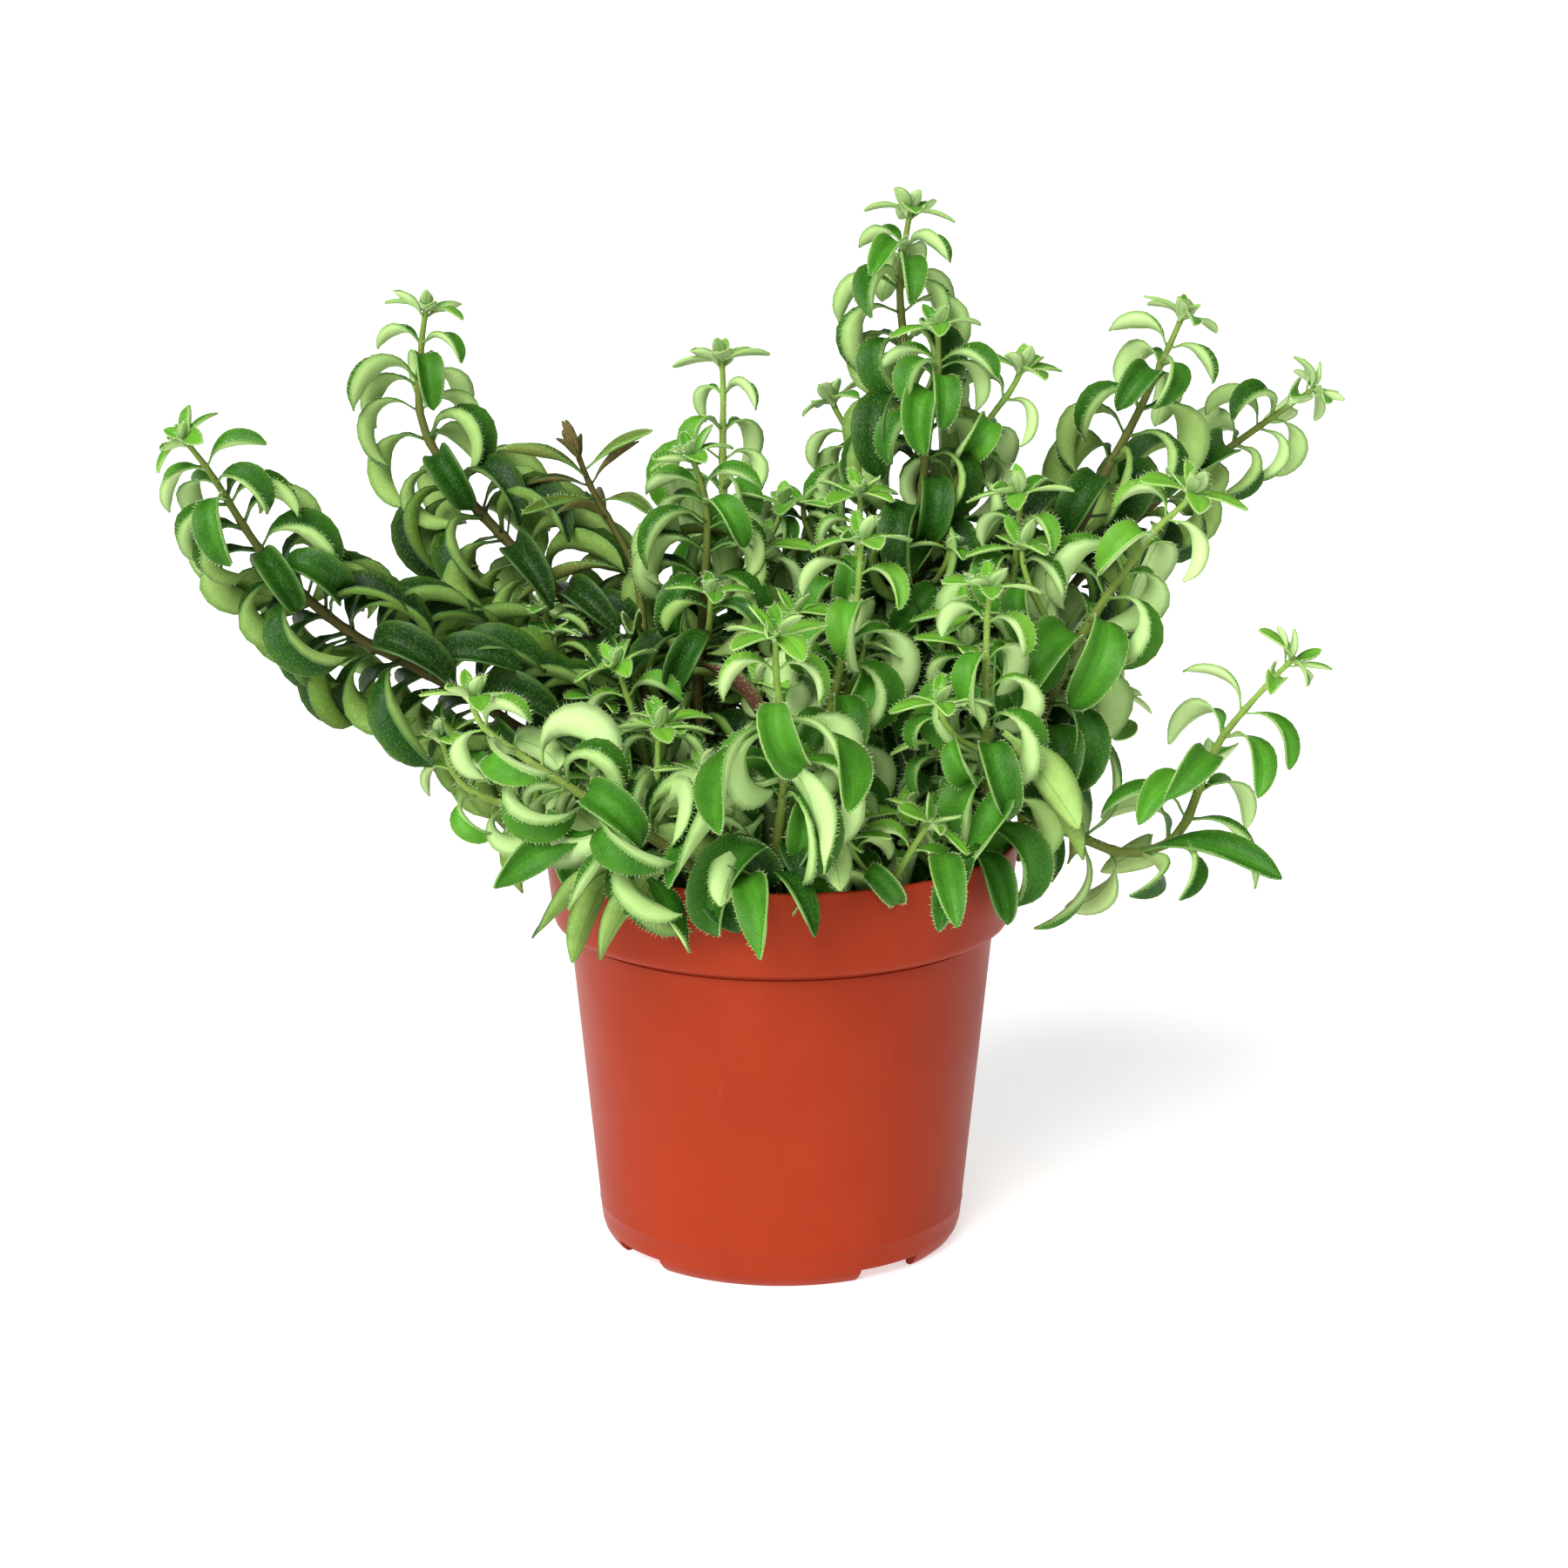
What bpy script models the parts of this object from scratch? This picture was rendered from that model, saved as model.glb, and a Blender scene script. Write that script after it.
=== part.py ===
"""Curly-leaved lipstick plant in a plastic nursery pot.

Metres, +Z up. The pot's axis is the Z axis and its foot stands on z = 0. The front of the
plant faces -Y. Each rooted cutting is one solid: its stem with the leaves that grow on it.
A few single leaves that lie over the rim are solids of their own.
"""

import math
import random

import bmesh
import bpy
from mathutils import Quaternion, Vector
from mathutils.bvhtree import BVHTree

MM = 0.001
GAP = 0.3 * MM

# Pot: outer radii, heights and wall.
POT_HEIGHT = 92.3 * MM
RIM_TOP_RADIUS = 52.5 * MM
RIM_LOW_RADIUS = 50.7 * MM
RIM_BAND = 19.3 * MM
RIM_ROUND = 3.2 * MM
BODY_TOP_RADIUS = 47.1 * MM
BODY_LOW_RADIUS = 40.5 * MM
BODY_LOW_Z = 5.3 * MM
FOOT_RADIUS = 37.9 * MM
WALL = 1.1 * MM
LIP_ROUND = 0.4 * MM
FOOT_RING = 1.7 * MM
BASE_LIFT = 3.0 * MM
POT_SIDES = 40
# Where the wall's straight parts begin and end: the base corner, and the step under the rim.
CORNER_CUT = 0.5 * MM
SHOULDER_CUT = 0.6 * MM
FOOT_FLARE = 1.7 * MM
FOOT_FLARE_HEIGHT = 1.6 * MM
BAND_UNDERCUT = ((1.7 * MM, 0.0), (0.4 * MM, 1.2 * MM))
# How far the inner shoulder lies above the outer one, for each millimetre of wall.
BAND_SLOPE = 0.6
# Faces that meet at less than this shade as one curve.
SMOOTH_ANGLE = math.radians(35)

# Openings in the foot and the base.
NOTCHES = 4
NOTCH_WIDTH = 15.4 * MM
NOTCH_DEPTH = 12.0 * MM
NOTCH_FIRST = math.radians(-53)
DRAIN_HOLES = 8
DRAIN_RADIUS = 3.2 * MM
DRAIN_CIRCLE = 25.0 * MM
DRAIN_SIDES = 10

# Soil.
SOIL_TOP = 82.0 * MM
SOIL_EDGE_DROP = 1.6 * MM
SOIL_EDGE_WIDTH = 2.0 * MM

# Stems.
STEM_RADIUS = 1.3 * MM
TIP_STEM_RADIUS = 0.7 * MM
STEM_TAPER_LENGTH = 45.0 * MM
# Half the side of the square stem, as a share of the round stem's radius.
SQUARE_SHARE = 0.85
NODE_BAND = 0.8 * MM
CURVE_STEPS = 12
BARE_STEP = 8.0 * MM
# The tip leaves reach this far past the end of the stem, to the end of the route.
TIP_STAR = 4.5 * MM

# Leaves.
LEAF_LENGTH = 28.0 * MM
LEAF_WIDTH = 8.0 * MM
LEAF_THICKNESS = 0.7 * MM
PETIOLE_LENGTH = 2.6 * MM
PETIOLE_WIDTH = 1.3 * MM
LEAF_RISE = 38
# Turn of a full-grown leaf in degrees: rings near the tip of a stem, open arcs lower down.
RING_TURN = 215
ARC_TURN = 140
RING_REACH = 20.0 * MM
ARC_REACH = 75.0 * MM
# A blade bends this much more at its root than on average, and as much less at its tip.
ROOT_BEND = 0.45
PATH_STEPS = 12
PAIR_SPACING = 13.2 * MM
# How far along the blade each cross-section lies, and its share of the full width.
BLADE_SECTIONS = ((0.25, 0.85), (0.58, 0.95))
# The leaves of a stem that ends in a bud curl only this much.
BUD_CURL = 0.3
# Leaves differ by up to this much: roll and rise in degrees, and ranges of size and turn.
ROLL_SPREAD = 9
RISE_SPREAD = 8
SIZE_RANGE = (0.9, 1.08)
TURN_RANGE = (0.88, 1.12)
LEAST_TURN = 30
LONE_LEAF_RISE = math.radians(15)
# The youngest pairs, from the tip down: distance from the tip, size, turn, rise in degrees.
YOUNG_PAIRS = (
    (1.2 * MM, 0.42, 55, 56),
    (7.0 * MM, 0.68, 145, 46),
    (15.0 * MM, 0.88, 190, 42),
)
# What is tried in turn for a leaf that has no room: roll about the stem, size, added turn.
RETRIES = (
    (0, 1.0, 0),
    (14, 1.0, 10),
    (-14, 1.0, -10),
    (28, 0.95, 20),
    (-28, 0.95, 20),
    (0, 0.85, 40),
    (20, 0.8, -40),
    (-20, 0.8, 60),
    (0, 0.68, 70),
)
LEAF_COLOUR = (0.045, 0.17, 0.03)
YOUNG_COLOUR = (0.12, 0.32, 0.06)
POT_COLOUR = (0.52, 0.085, 0.032)
SOIL_COLOUR = (0.022, 0.014, 0.009)

# Every cutting: name, young (bright, hairy) or old, stretch without leaves above the soil,
# roll of its first pair in degrees, leaf size, and its route from the soil to the tip in mm.
SHOOTS = (
    ("shoot_front_rosette", "young", 10, 40, 0.95,
     ((0, -36, 82), (-1, -47, 98), (1, -54, 122), (-1, -56, 140), (-1, -57, 153))),
    ("shoot_front_right", "young", 6, 10, 0.8,
     ((38, -19, 82), (41, -24, 95), (44, -30, 108), (43, -33, 125), (43, -34, 145),
      (44, -34, 159))),
    ("shoot_front_left", "young", 12, 20, 0.85,
     ((-13, -37, 82), (-19, -50, 98), (-42, -52, 114), (-54, -48, 121), (-63, -45, 128),
      (-64, -44, 137))),
    ("shoot_low_front", "young", 5, 60, 0.75,
     ((21, -38, 82), (25, -43, 95), (29, -46, 103), (34, -46, 110))),
    ("shoot_left_small", "young", 12, 15, 0.7,
     ((-34, -24, 82), (-43, -26, 96), (-57, -23, 103), (-69, -22, 109), (-74, -22, 124))),
    ("shoot_middle_left", "young", 8, 30, 0.75,
     ((-24, -22, 82), (-28, -18, 106), (-31, -18, 120), (-34, -18, 130), (-37, -18, 138))),
    ("shoot_middle_star", "young", 16, 25, 0.85,
     ((8, -16, 82), (9, -19, 112), (13, -22, 136), (16, -22, 148), (17, -22, 166))),
    ("shoot_right_low", "young", 30, 25, 0.9,
     ((36, -12, 82), (42, -13, 93), (50, -14, 97), (61, -14, 96), (75, -14, 91),
      (86, -14, 95), (92, -14, 110), (96, -14, 118), (106, -14, 130), (113, -14, 137))),
    ("shoot_right_star", "young", 18, 20, 0.95,
     ((36, -4, 82), (52, -9, 110), (64, -10, 137), (79, -10, 160), (86, -10, 167),
      (89, -10, 174))),
    ("shoot_middle_right", "young", 18, 0, 0.85,
     ((28, -8, 82), (42, -7, 115), (49, -8, 144), (51, -8, 163), (51, -8, 174))),
    ("shoot_left_long", "old", 16, 35, 0.95,
     ((-34, -8, 82), (-48, -10, 110), (-63, -14, 123), (-79, -20, 134), (-92, -26, 143),
      (-107, -32, 159), (-118, -38, 179), (-125, -41, 189))),
    ("shoot_middle_rosette", "old", 24, 10, 1.0,
     ((-14, -4, 82), (-18, -1, 122), (-17, -2, 142), (-16, -3, 164), (-19, -5, 176),
      (-21, -6, 181))),
    ("shoot_bud_stem", "bud", 26, 40, 0.85,
     ((-25, -6, 82), (-29, -3, 114), (-30, -1, 135), (-32, 1, 151), (-41, 3, 168),
      (-46, 4, 181))),
    ("shoot_centre_star", "young", 24, 45, 0.8,
     ((6, -1, 82), (11, -2, 118), (15, 0, 142), (17, 2, 161), (17, 2, 172))),
    ("shoot_centre_tall", "old", 24, 15, 0.9,
     ((16, 6, 82), (24, 4, 124), (29, 5, 153), (32, 6, 180), (34, 6, 195), (33, 6, 208))),
    ("shoot_right_fork", "young", 26, 20, 0.85,
     ((26, 7, 82), (27, 9, 125), (32, 10, 152), (43, 11, 178), (51, 12, 190),
      (53, 12, 198))),
    ("shoot_left_upper", "old", 16, 0, 0.95,
     ((-26, 6, 82), (-35, 7, 123), (-46, 8, 141), (-60, 11, 155), (-71, 14, 167),
      (-79, 17, 181), (-79, 20, 197), (-77, 22, 210))),
    ("shoot_right_upper", "old", 26, 30, 0.9,
     ((36, 10, 82), (51, 14, 127), (63, 16, 151), (71, 18, 168), (78, 20, 181),
      (84, 21, 194), (90, 22, 208))),
    ("shoot_tallest", "old", 26, 5, 0.9,
     ((15, 19, 82), (29, 16, 135), (31, 17, 166), (28, 19, 190), (26, 21, 208),
      (27, 22, 219), (29, 24, 231))),
    ("shoot_back_fork", "old", 24, 40, 0.85,
     ((3, 26, 82), (16, 25, 121), (20, 25, 149), (18, 27, 170), (12, 29, 182),
      (10, 30, 188))),
    ("shoot_back_star", "young", 26, 0, 0.8,
     ((-12, 22, 82), (-11, 22, 138), (-13, 27, 164), (-13, 32, 187), (-14, 34, 197))),
    ("shoot_right_far", "old", 24, 15, 0.85,
     ((32, 24, 82), (50, 28, 118), (68, 32, 144), (87, 36, 162), (102, 40, 172),
      (114, 43, 180), (125, 46, 187))),
    ("shoot_back_left", "old", 12, 30, 0.95,
     ((-30, 22, 82), (-37, 37, 110), (-42, 50, 125), (-50, 60, 129), (-60, 66, 126))),
    ("shoot_back_middle", "old", 12, 10, 0.95,
     ((-4, 38, 82), (-6, 46, 112), (-8, 55, 132), (-7, 63, 145), (-5, 68, 155))),
    ("shoot_back_right", "old", 12, 35, 0.95,
     ((20, 36, 82), (30, 46, 106), (42, 56, 125), (53, 62, 132), (62, 68, 133))),
    ("shoot_back_low", "young", 10, 20, 0.85,
     ((8, 39, 82), (11, 47, 95), (15, 56, 100), (22, 62, 103), (28, 66, 109), (32, 68, 118))),
    ("shoot_back_low_left", "young", 10, 20, 0.85,
     ((-14, 35, 82), (-17, 44, 95), (-22, 52, 99), (-30, 59, 99), (-38, 64, 94), (-45, 67, 88))),
    ("shoot_back_side", "young", 12, 5, 0.85,
     ((38, 12, 82), (46, 18, 95), (56, 26, 101), (64, 38, 103), (74, 47, 109), (78, 50, 118))),
)

# Single leaves: name, root, outward direction, direction that the root side faces, size,
# turn in degrees.
LONE_LEAVES = (
    ("leaf_over_rim", (-9, -52.5, 96), (0.25, -1.0, 0.15), (0, 0.1, 1), 0.95, 95),
    ("leaf_dark_over_rim", (-2, -51.5, 97), (0.55, -1.0, 0.0), (0, 0.1, 1), 0.75, 80),
    ("leaf_rim_right", (33, -47, 98.5), (0.05, -1.0, 0.3), (0, 0.1, 1), 0.85, 110),
    ("leaf_rim_left", (-33, -47, 100), (-0.35, -1.0, 0.2), (0, 0.1, 1), 0.85, 80),
    ("leaf_large_right", (78, -19, 93), (1.0, -0.25, 0.1), (0, 0, 1), 1.05, 55),
    ("leaf_old_red", (-22, -14, 132), (0.9, -0.4, 0.1), (0, 0, 1), 0.85, 90),
)


def clear_scene():
    for existing in list(bpy.data.objects):
        bpy.data.objects.remove(existing, do_unlink=True)


def material(name, colour, roughness):
    made = bpy.data.materials.new(name)
    made.use_nodes = True
    shader = made.node_tree.nodes["Principled BSDF"]
    shader.inputs["Base Color"].default_value = (*colour, 1)
    shader.inputs["Roughness"].default_value = roughness
    shader.inputs["Metallic"].default_value = 0
    return made


def object_of(shape, name, finish, smooth=False):
    """A scene object from a bmesh, which is freed."""
    bmesh.ops.recalc_face_normals(shape, faces=shape.faces)
    mesh = bpy.data.meshes.new(name)
    shape.to_mesh(mesh)
    shape.free()
    mesh.materials.append(finish)
    if smooth:
        mesh.shade_smooth()
        mesh.set_sharp_from_angle(angle=SMOOTH_ANGLE)
    made = bpy.data.objects.new(name, mesh)
    bpy.context.scene.collection.objects.link(made)
    return made


def turned(profile):
    """A closed bmesh from a profile of (radius, height) whose two ends lie on the axis."""
    shape = bmesh.new()
    chain = [shape.verts.new((radius, 0, height)) for radius, height in profile]
    for low, high in zip(chain, chain[1:]):
        shape.edges.new((low, high))
    bmesh.ops.spin(
        shape, geom=shape.verts[:] + shape.edges[:], cent=(0, 0, 0), axis=(0, 0, 1),
        angle=2 * math.pi, steps=POT_SIDES, use_merge=True)
    bmesh.ops.remove_doubles(shape, verts=shape.verts, dist=0.01 * MM)
    bmesh.ops.recalc_face_normals(shape, faces=shape.faces)
    return shape


def wall_points(inset):
    """The tapered wall's profile from the base corner up to the rim band, moved inwards."""
    band_foot = POT_HEIGHT - RIM_BAND
    lift = inset * BAND_SLOPE
    return (
        (BODY_LOW_RADIUS - CORNER_CUT - inset, BASE_LIFT + inset),
        (BODY_LOW_RADIUS - inset, BODY_LOW_Z + inset),
        (BODY_TOP_RADIUS - inset, band_foot - SHOULDER_CUT + lift),
        (RIM_LOW_RADIUS - inset, band_foot + RIM_ROUND + lift),
    )


def pot():
    """One moulded piece: foot ring with notches, base with drain holes, wall and rim band."""
    band_foot = POT_HEIGHT - RIM_BAND
    outside = (
        (0, BASE_LIFT),
        (FOOT_RADIUS - FOOT_RING, BASE_LIFT),
        (FOOT_RADIUS - FOOT_RING, 0),
        (FOOT_RADIUS, 0),
        (FOOT_RADIUS + FOOT_FLARE, FOOT_FLARE_HEIGHT),
        (BODY_LOW_RADIUS, BODY_LOW_Z),
        (BODY_TOP_RADIUS, band_foot - SHOULDER_CUT),
        *((RIM_LOW_RADIUS - inward, band_foot + up) for inward, up in BAND_UNDERCUT),
        (RIM_LOW_RADIUS, band_foot + RIM_ROUND),
        (RIM_TOP_RADIUS, POT_HEIGHT - LIP_ROUND),
        (RIM_TOP_RADIUS - LIP_ROUND, POT_HEIGHT),
        (RIM_TOP_RADIUS - WALL, POT_HEIGHT),
    )
    inside = tuple(reversed(wall_points(WALL)))
    shape = turned(outside + inside + ((0, BASE_LIFT + WALL),))
    made = object_of(shape, "nursery_pot", material("pot_plastic", POT_COLOUR, 0.42), True)
    cut = made.modifiers.new("foot_notches_and_drains", "BOOLEAN")
    cut.operation = "DIFFERENCE"
    cut.object = pot_cutter()
    return made


def pot_cutter():
    """Blocks that notch the foot ring and plugs that pierce the base, as one guide object."""
    shape = bmesh.new()
    for index in range(NOTCHES):
        angle = NOTCH_FIRST + index * 2 * math.pi / NOTCHES
        block = bmesh.ops.create_cube(shape, size=1)["verts"]
        bmesh.ops.scale(shape, verts=block, vec=(NOTCH_WIDTH, NOTCH_DEPTH, 2 * BASE_LIFT))
        bmesh.ops.translate(shape, verts=block, vec=(0, -FOOT_RADIUS, 0))
        turn = Quaternion((0, 0, 1), angle).to_matrix()
        bmesh.ops.rotate(shape, verts=block, matrix=turn)
    for index in range(DRAIN_HOLES):
        angle = (index + 0.5) * 2 * math.pi / DRAIN_HOLES
        plug = bmesh.ops.create_cone(
            shape, cap_ends=True, segments=DRAIN_SIDES, radius1=DRAIN_RADIUS,
            radius2=DRAIN_RADIUS, depth=4 * WALL)["verts"]
        place = (DRAIN_CIRCLE * math.sin(angle), DRAIN_CIRCLE * math.cos(angle),
                 BASE_LIFT + WALL / 2)
        bmesh.ops.translate(shape, verts=plug, vec=place)
    guide = object_of(shape, "pot_cutter", material("guide", (0.5, 0.5, 0.5), 0.5))
    guide.hide_render = True
    guide.display_type = "WIRE"
    return guide


def soil():
    """The potting mix fills the pot to a little below the rim, clear of the wall."""
    inset = WALL + GAP
    low, corner, shoulder, band = wall_points(inset)
    slope = (RIM_TOP_RADIUS - RIM_LOW_RADIUS) / (POT_HEIGHT - band[1])
    edge_z = SOIL_TOP - SOIL_EDGE_DROP
    edge_radius = band[0] + slope * (edge_z - band[1]) - GAP
    profile = (
        (0, BASE_LIFT + inset),
        (low[0] - GAP, BASE_LIFT + inset),
        corner,
        shoulder,
        (band[0] - GAP, band[1]),
        (edge_radius, edge_z),
        (edge_radius - SOIL_EDGE_WIDTH, SOIL_TOP),
        (0, SOIL_TOP),
    )
    return object_of(turned(profile), "potting_soil", material("soil", SOIL_COLOUR, 0.95))


def curve_through(points):
    """Dense points on a Catmull-Rom curve through the given ones."""
    ends = [2 * points[0] - points[1], *points, 2 * points[-1] - points[-2]]
    made = []
    for p0, p1, p2, p3 in zip(ends, ends[1:], ends[2:], ends[3:]):
        for step in range(CURVE_STEPS):
            t = step / CURVE_STEPS
            made.append(0.5 * (2 * p1 + (p2 - p0) * t
                               + (2 * p0 - 5 * p1 + 4 * p2 - p3) * t ** 2
                               + (3 * p1 - p0 - 3 * p2 + p3) * t ** 3))
    made.append(points[-1])
    return made


class Stem:
    """A smooth route that gives a place and a frame at any distance from its tip."""

    def __init__(self, route):
        start = [Vector(point) * MM for point in route]
        start[0].z = SOIL_TOP + GAP
        self.points = list(reversed(curve_through(start)))
        while (self.points[0] - start[-1]).length < TIP_STAR:
            self.points.pop(0)
        self.reach = [0.0]
        for near, far in zip(self.points, self.points[1:]):
            self.reach.append(self.reach[-1] + (far - near).length)
        self.length = self.reach[-1]
        self.sides = [(self.points[1] - self.points[0]).orthogonal().normalized()]
        for index in range(1, len(self.points)):
            along = self.along_at(index)
            side = self.sides[-1] - along * self.sides[-1].dot(along)
            self.sides.append(side.normalized())

    def along_at(self, index):
        """Unit vector towards the tip at a stored point."""
        near = max(index - 1, 0)
        far = min(index + 1, len(self.points) - 1)
        return (self.points[near] - self.points[far]).normalized()

    def frame(self, distance):
        """Place, direction to the tip and a side vector at a distance from the tip."""
        distance = min(max(distance, 0), self.length)
        index = 0
        while index < len(self.points) - 2 and self.reach[index + 1] < distance:
            index += 1
        span = self.reach[index + 1] - self.reach[index]
        share = (distance - self.reach[index]) / span
        place = self.points[index].lerp(self.points[index + 1], share)
        along = self.along_at(index).lerp(self.along_at(index + 1), share).normalized()
        side = self.sides[index].lerp(self.sides[index + 1], share)
        side = (side - along * side.dot(along)).normalized()
        return place, along, side

    def radius(self, distance):
        share = min(distance / STEM_TAPER_LENGTH, 1)
        return TIP_STEM_RADIUS + (STEM_RADIUS - TIP_STEM_RADIUS) * share


def leaf_path(leaf):
    """Middles and headings of a blade at equal steps: it rises from its stalk, then curls
    over and back to the stem, most of all near its root."""
    root, out, along, size, turn, rise = leaf

    def towards(angle):
        return out * math.cos(angle) + along * math.sin(angle)

    middle = root + towards(rise) * (PETIOLE_LENGTH * size)
    step = LEAF_LENGTH * size / PATH_STEPS
    path = [(middle, towards(rise), towards(rise + math.pi / 2))]
    for index in range(PATH_STEPS):
        share = (index + 0.5) / PATH_STEPS
        angle = rise - turn * share * (1 + ROOT_BEND - ROOT_BEND * share)
        middle = middle + towards(angle) * step
        path.append((middle, towards(angle), towards(angle + math.pi / 2)))
    return path


def leaf_sections(leaf, swell=0.0):
    """Four corners of each cross-section along a leaf, and its pointed tip."""
    _, out, along, size, _, _ = leaf
    across = along.cross(out)
    path = leaf_path(leaf)
    sections = []
    for share, width in ((0, PETIOLE_WIDTH / LEAF_WIDTH), *BLADE_SECTIONS):
        middle, _, up = path[round(share * PATH_STEPS)]
        half = across * (LEAF_WIDTH * size * width / 2 + swell)
        thick = up * (LEAF_THICKNESS / 2 + swell)
        sections.append((middle - half - thick, middle + half - thick,
                         middle + half + thick, middle - half + thick))
    return sections, path[-1][0]


class Solid:
    """A collision tree with its box."""

    def __init__(self, corners, faces):
        self.tree = BVHTree.FromPolygons(corners, faces)
        self.low = [min(corner[axis] for corner in corners) for axis in range(3)]
        self.high = [max(corner[axis] for corner in corners) for axis in range(3)]

    def meets(self, other):
        for axis in range(3):
            if self.low[axis] > other.high[axis] or other.low[axis] > self.high[axis]:
                return False
        return bool(self.tree.overlap(other.tree))


def blade_tree(leaf):
    """Collision tree of a leaf's blade with a little room around it."""
    sections, tip = leaf_sections(leaf, GAP)
    corners = [corner for section in sections for corner in section] + [tip]
    faces = [(0, 1, 2, 3)]
    for ring in range(len(sections) - 1):
        for side in range(4):
            a = 4 * ring + side
            b = 4 * ring + (side + 1) % 4
            faces.append((a, b, b + 4, a + 4))
    last = 4 * (len(sections) - 1)
    for side in range(4):
        faces.append((last + side, last + (side + 1) % 4, len(corners) - 1))
    return Solid(corners, faces)


def solid_from(shape):
    shape.verts.index_update()
    corners = [vertex.co.copy() for vertex in shape.verts]
    faces = [[vertex.index for vertex in face.verts] for face in shape.faces]
    return Solid(corners, faces)


def extruded(shape, face, corners):
    """The end face of an extrusion of a four-sided face, with its corners moved."""
    end = bmesh.ops.extrude_discrete_faces(shape, faces=[face])["faces"][0]
    for vertex, corner in zip(end.verts, corners):
        vertex.co = corner
    return end


def stand_on_soil(end):
    """Levels a stem's lower end just clear of the soil."""
    for vertex in end.verts:
        vertex.co.z = SOIL_TOP + GAP


def close_ends(shape):
    """Fills the hole that an extrusion leaves where it began."""
    bmesh.ops.holes_fill(shape, edges=shape.edges, sides=4)


def square(place, side, other, radius):
    return [place + side * radius * a + other * radius * b
            for a, b in ((-1, -1), (1, -1), (1, 1), (-1, 1))]


def stem_shape(stem, joints):
    """A square-sided stem and the faces where leaves may grow, by joint and side."""
    shape = bmesh.new()
    stops = []
    for joint, distance in enumerate(joints):
        stops += [(distance - NODE_BAND, None), (distance + NODE_BAND, joint)]
    stops = [(max(distance, 0.0), joint) for distance, joint in stops]
    while stops[-1][0] + 1.5 * BARE_STEP < stem.length:
        stops.append((stops[-1][0] + BARE_STEP, None))
    stops.append((stem.length, None))
    corners = square(*stem_square(stem, stops[0][0]))
    end = shape.faces.new([shape.verts.new(corner) for corner in corners])
    lands = {}
    for distance, joint in stops[1:]:
        end = extruded(shape, end, square(*stem_square(stem, distance)))
        if distance == stem.length:
            stand_on_soil(end)
        if joint is not None:
            around = [face for edge in end.edges for face in edge.link_faces if face != end]
            lands[joint] = around
    close_ends(shape)
    return shape, lands


def stem_square(stem, distance):
    place, along, side = stem.frame(distance)
    return place, side, along.cross(side), stem.radius(distance) * SQUARE_SHARE


def joint_distances(stem, bare):
    """Distances from the tip of the places where leaf pairs grow."""
    joints = [pair[0] for pair in YOUNG_PAIRS if pair[0] < stem.length - bare]
    while joints[-1] + PAIR_SPACING < stem.length - bare:
        joints.append(joints[-1] + PAIR_SPACING)
    return joints


def placed_leaves(stem, joints, roll, size, straight, chance, obstacles, own):
    """Leaves in crossed pairs that keep clear of everything placed before them."""
    leaves = []
    for joint, distance in enumerate(joints):
        place, along, side = stem.frame(distance)
        if joint < len(YOUNG_PAIRS):
            _, share, turn, rise = YOUNG_PAIRS[joint]
        else:
            old = (distance - RING_REACH) / (ARC_REACH - RING_REACH)
            share, rise = 1.0, LEAF_RISE
            turn = RING_TURN + (ARC_TURN - RING_TURN) * min(max(old, 0), 1)
        for half in range(2):
            angle = roll + 90 * (joint % 2) + 180 * half
            angle += chance.uniform(-ROLL_SPREAD, ROLL_SPREAD)
            leaf_size = size * share * chance.uniform(*SIZE_RANGE)
            leaf_turn = turn * straight * chance.uniform(*TURN_RANGE)
            leaf_rise = math.radians(rise + chance.uniform(-RISE_SPREAD, RISE_SPREAD))
            for more_roll, shrink, more_turn in RETRIES:
                spin = Quaternion(along, math.radians(angle + more_roll))
                out = spin @ side
                root = place + out * stem.radius(distance) * SQUARE_SHARE
                full_turn = math.radians(max(leaf_turn + more_turn, LEAST_TURN))
                leaf = (root, out, along, leaf_size * shrink, full_turn, leaf_rise)
                blade = blade_tree(leaf)
                if blade.meets(own) or any(blade.meets(other) for other in obstacles):
                    continue
                obstacles.append(blade)
                leaves.append((joint, leaf))
                break
    return leaves


def grow_leaf(shape, land, leaf):
    """Draws one leaf out of a face of its stem."""
    sections, tip = leaf_sections(leaf)
    _, out, along, *_ = leaf
    across = along.cross(out)
    centre = land.calc_center_median()
    end = bmesh.ops.extrude_discrete_faces(shape, faces=[land])["faces"][0]
    order = []
    for vertex in end.verts:
        offset = vertex.co - centre
        right = offset.dot(across) > 0
        high = offset.dot(along) > 0
        order.append((2 if high else 1) if right else (3 if high else 0))
    for index, section in enumerate(sections):
        if index:
            end = bmesh.ops.extrude_discrete_faces(shape, faces=[end])["faces"][0]
        for vertex, corner in zip(end.verts, order):
            vertex.co = section[corner]
    end = bmesh.ops.extrude_discrete_faces(shape, faces=[end])["faces"][0]
    bmesh.ops.pointmerge(shape, verts=end.verts[:], merge_co=tip)


def shoot_finish(kind):
    colour = YOUNG_COLOUR if kind == "young" else LEAF_COLOUR
    return material(f"foliage_{kind}", colour, 0.45)


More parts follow.
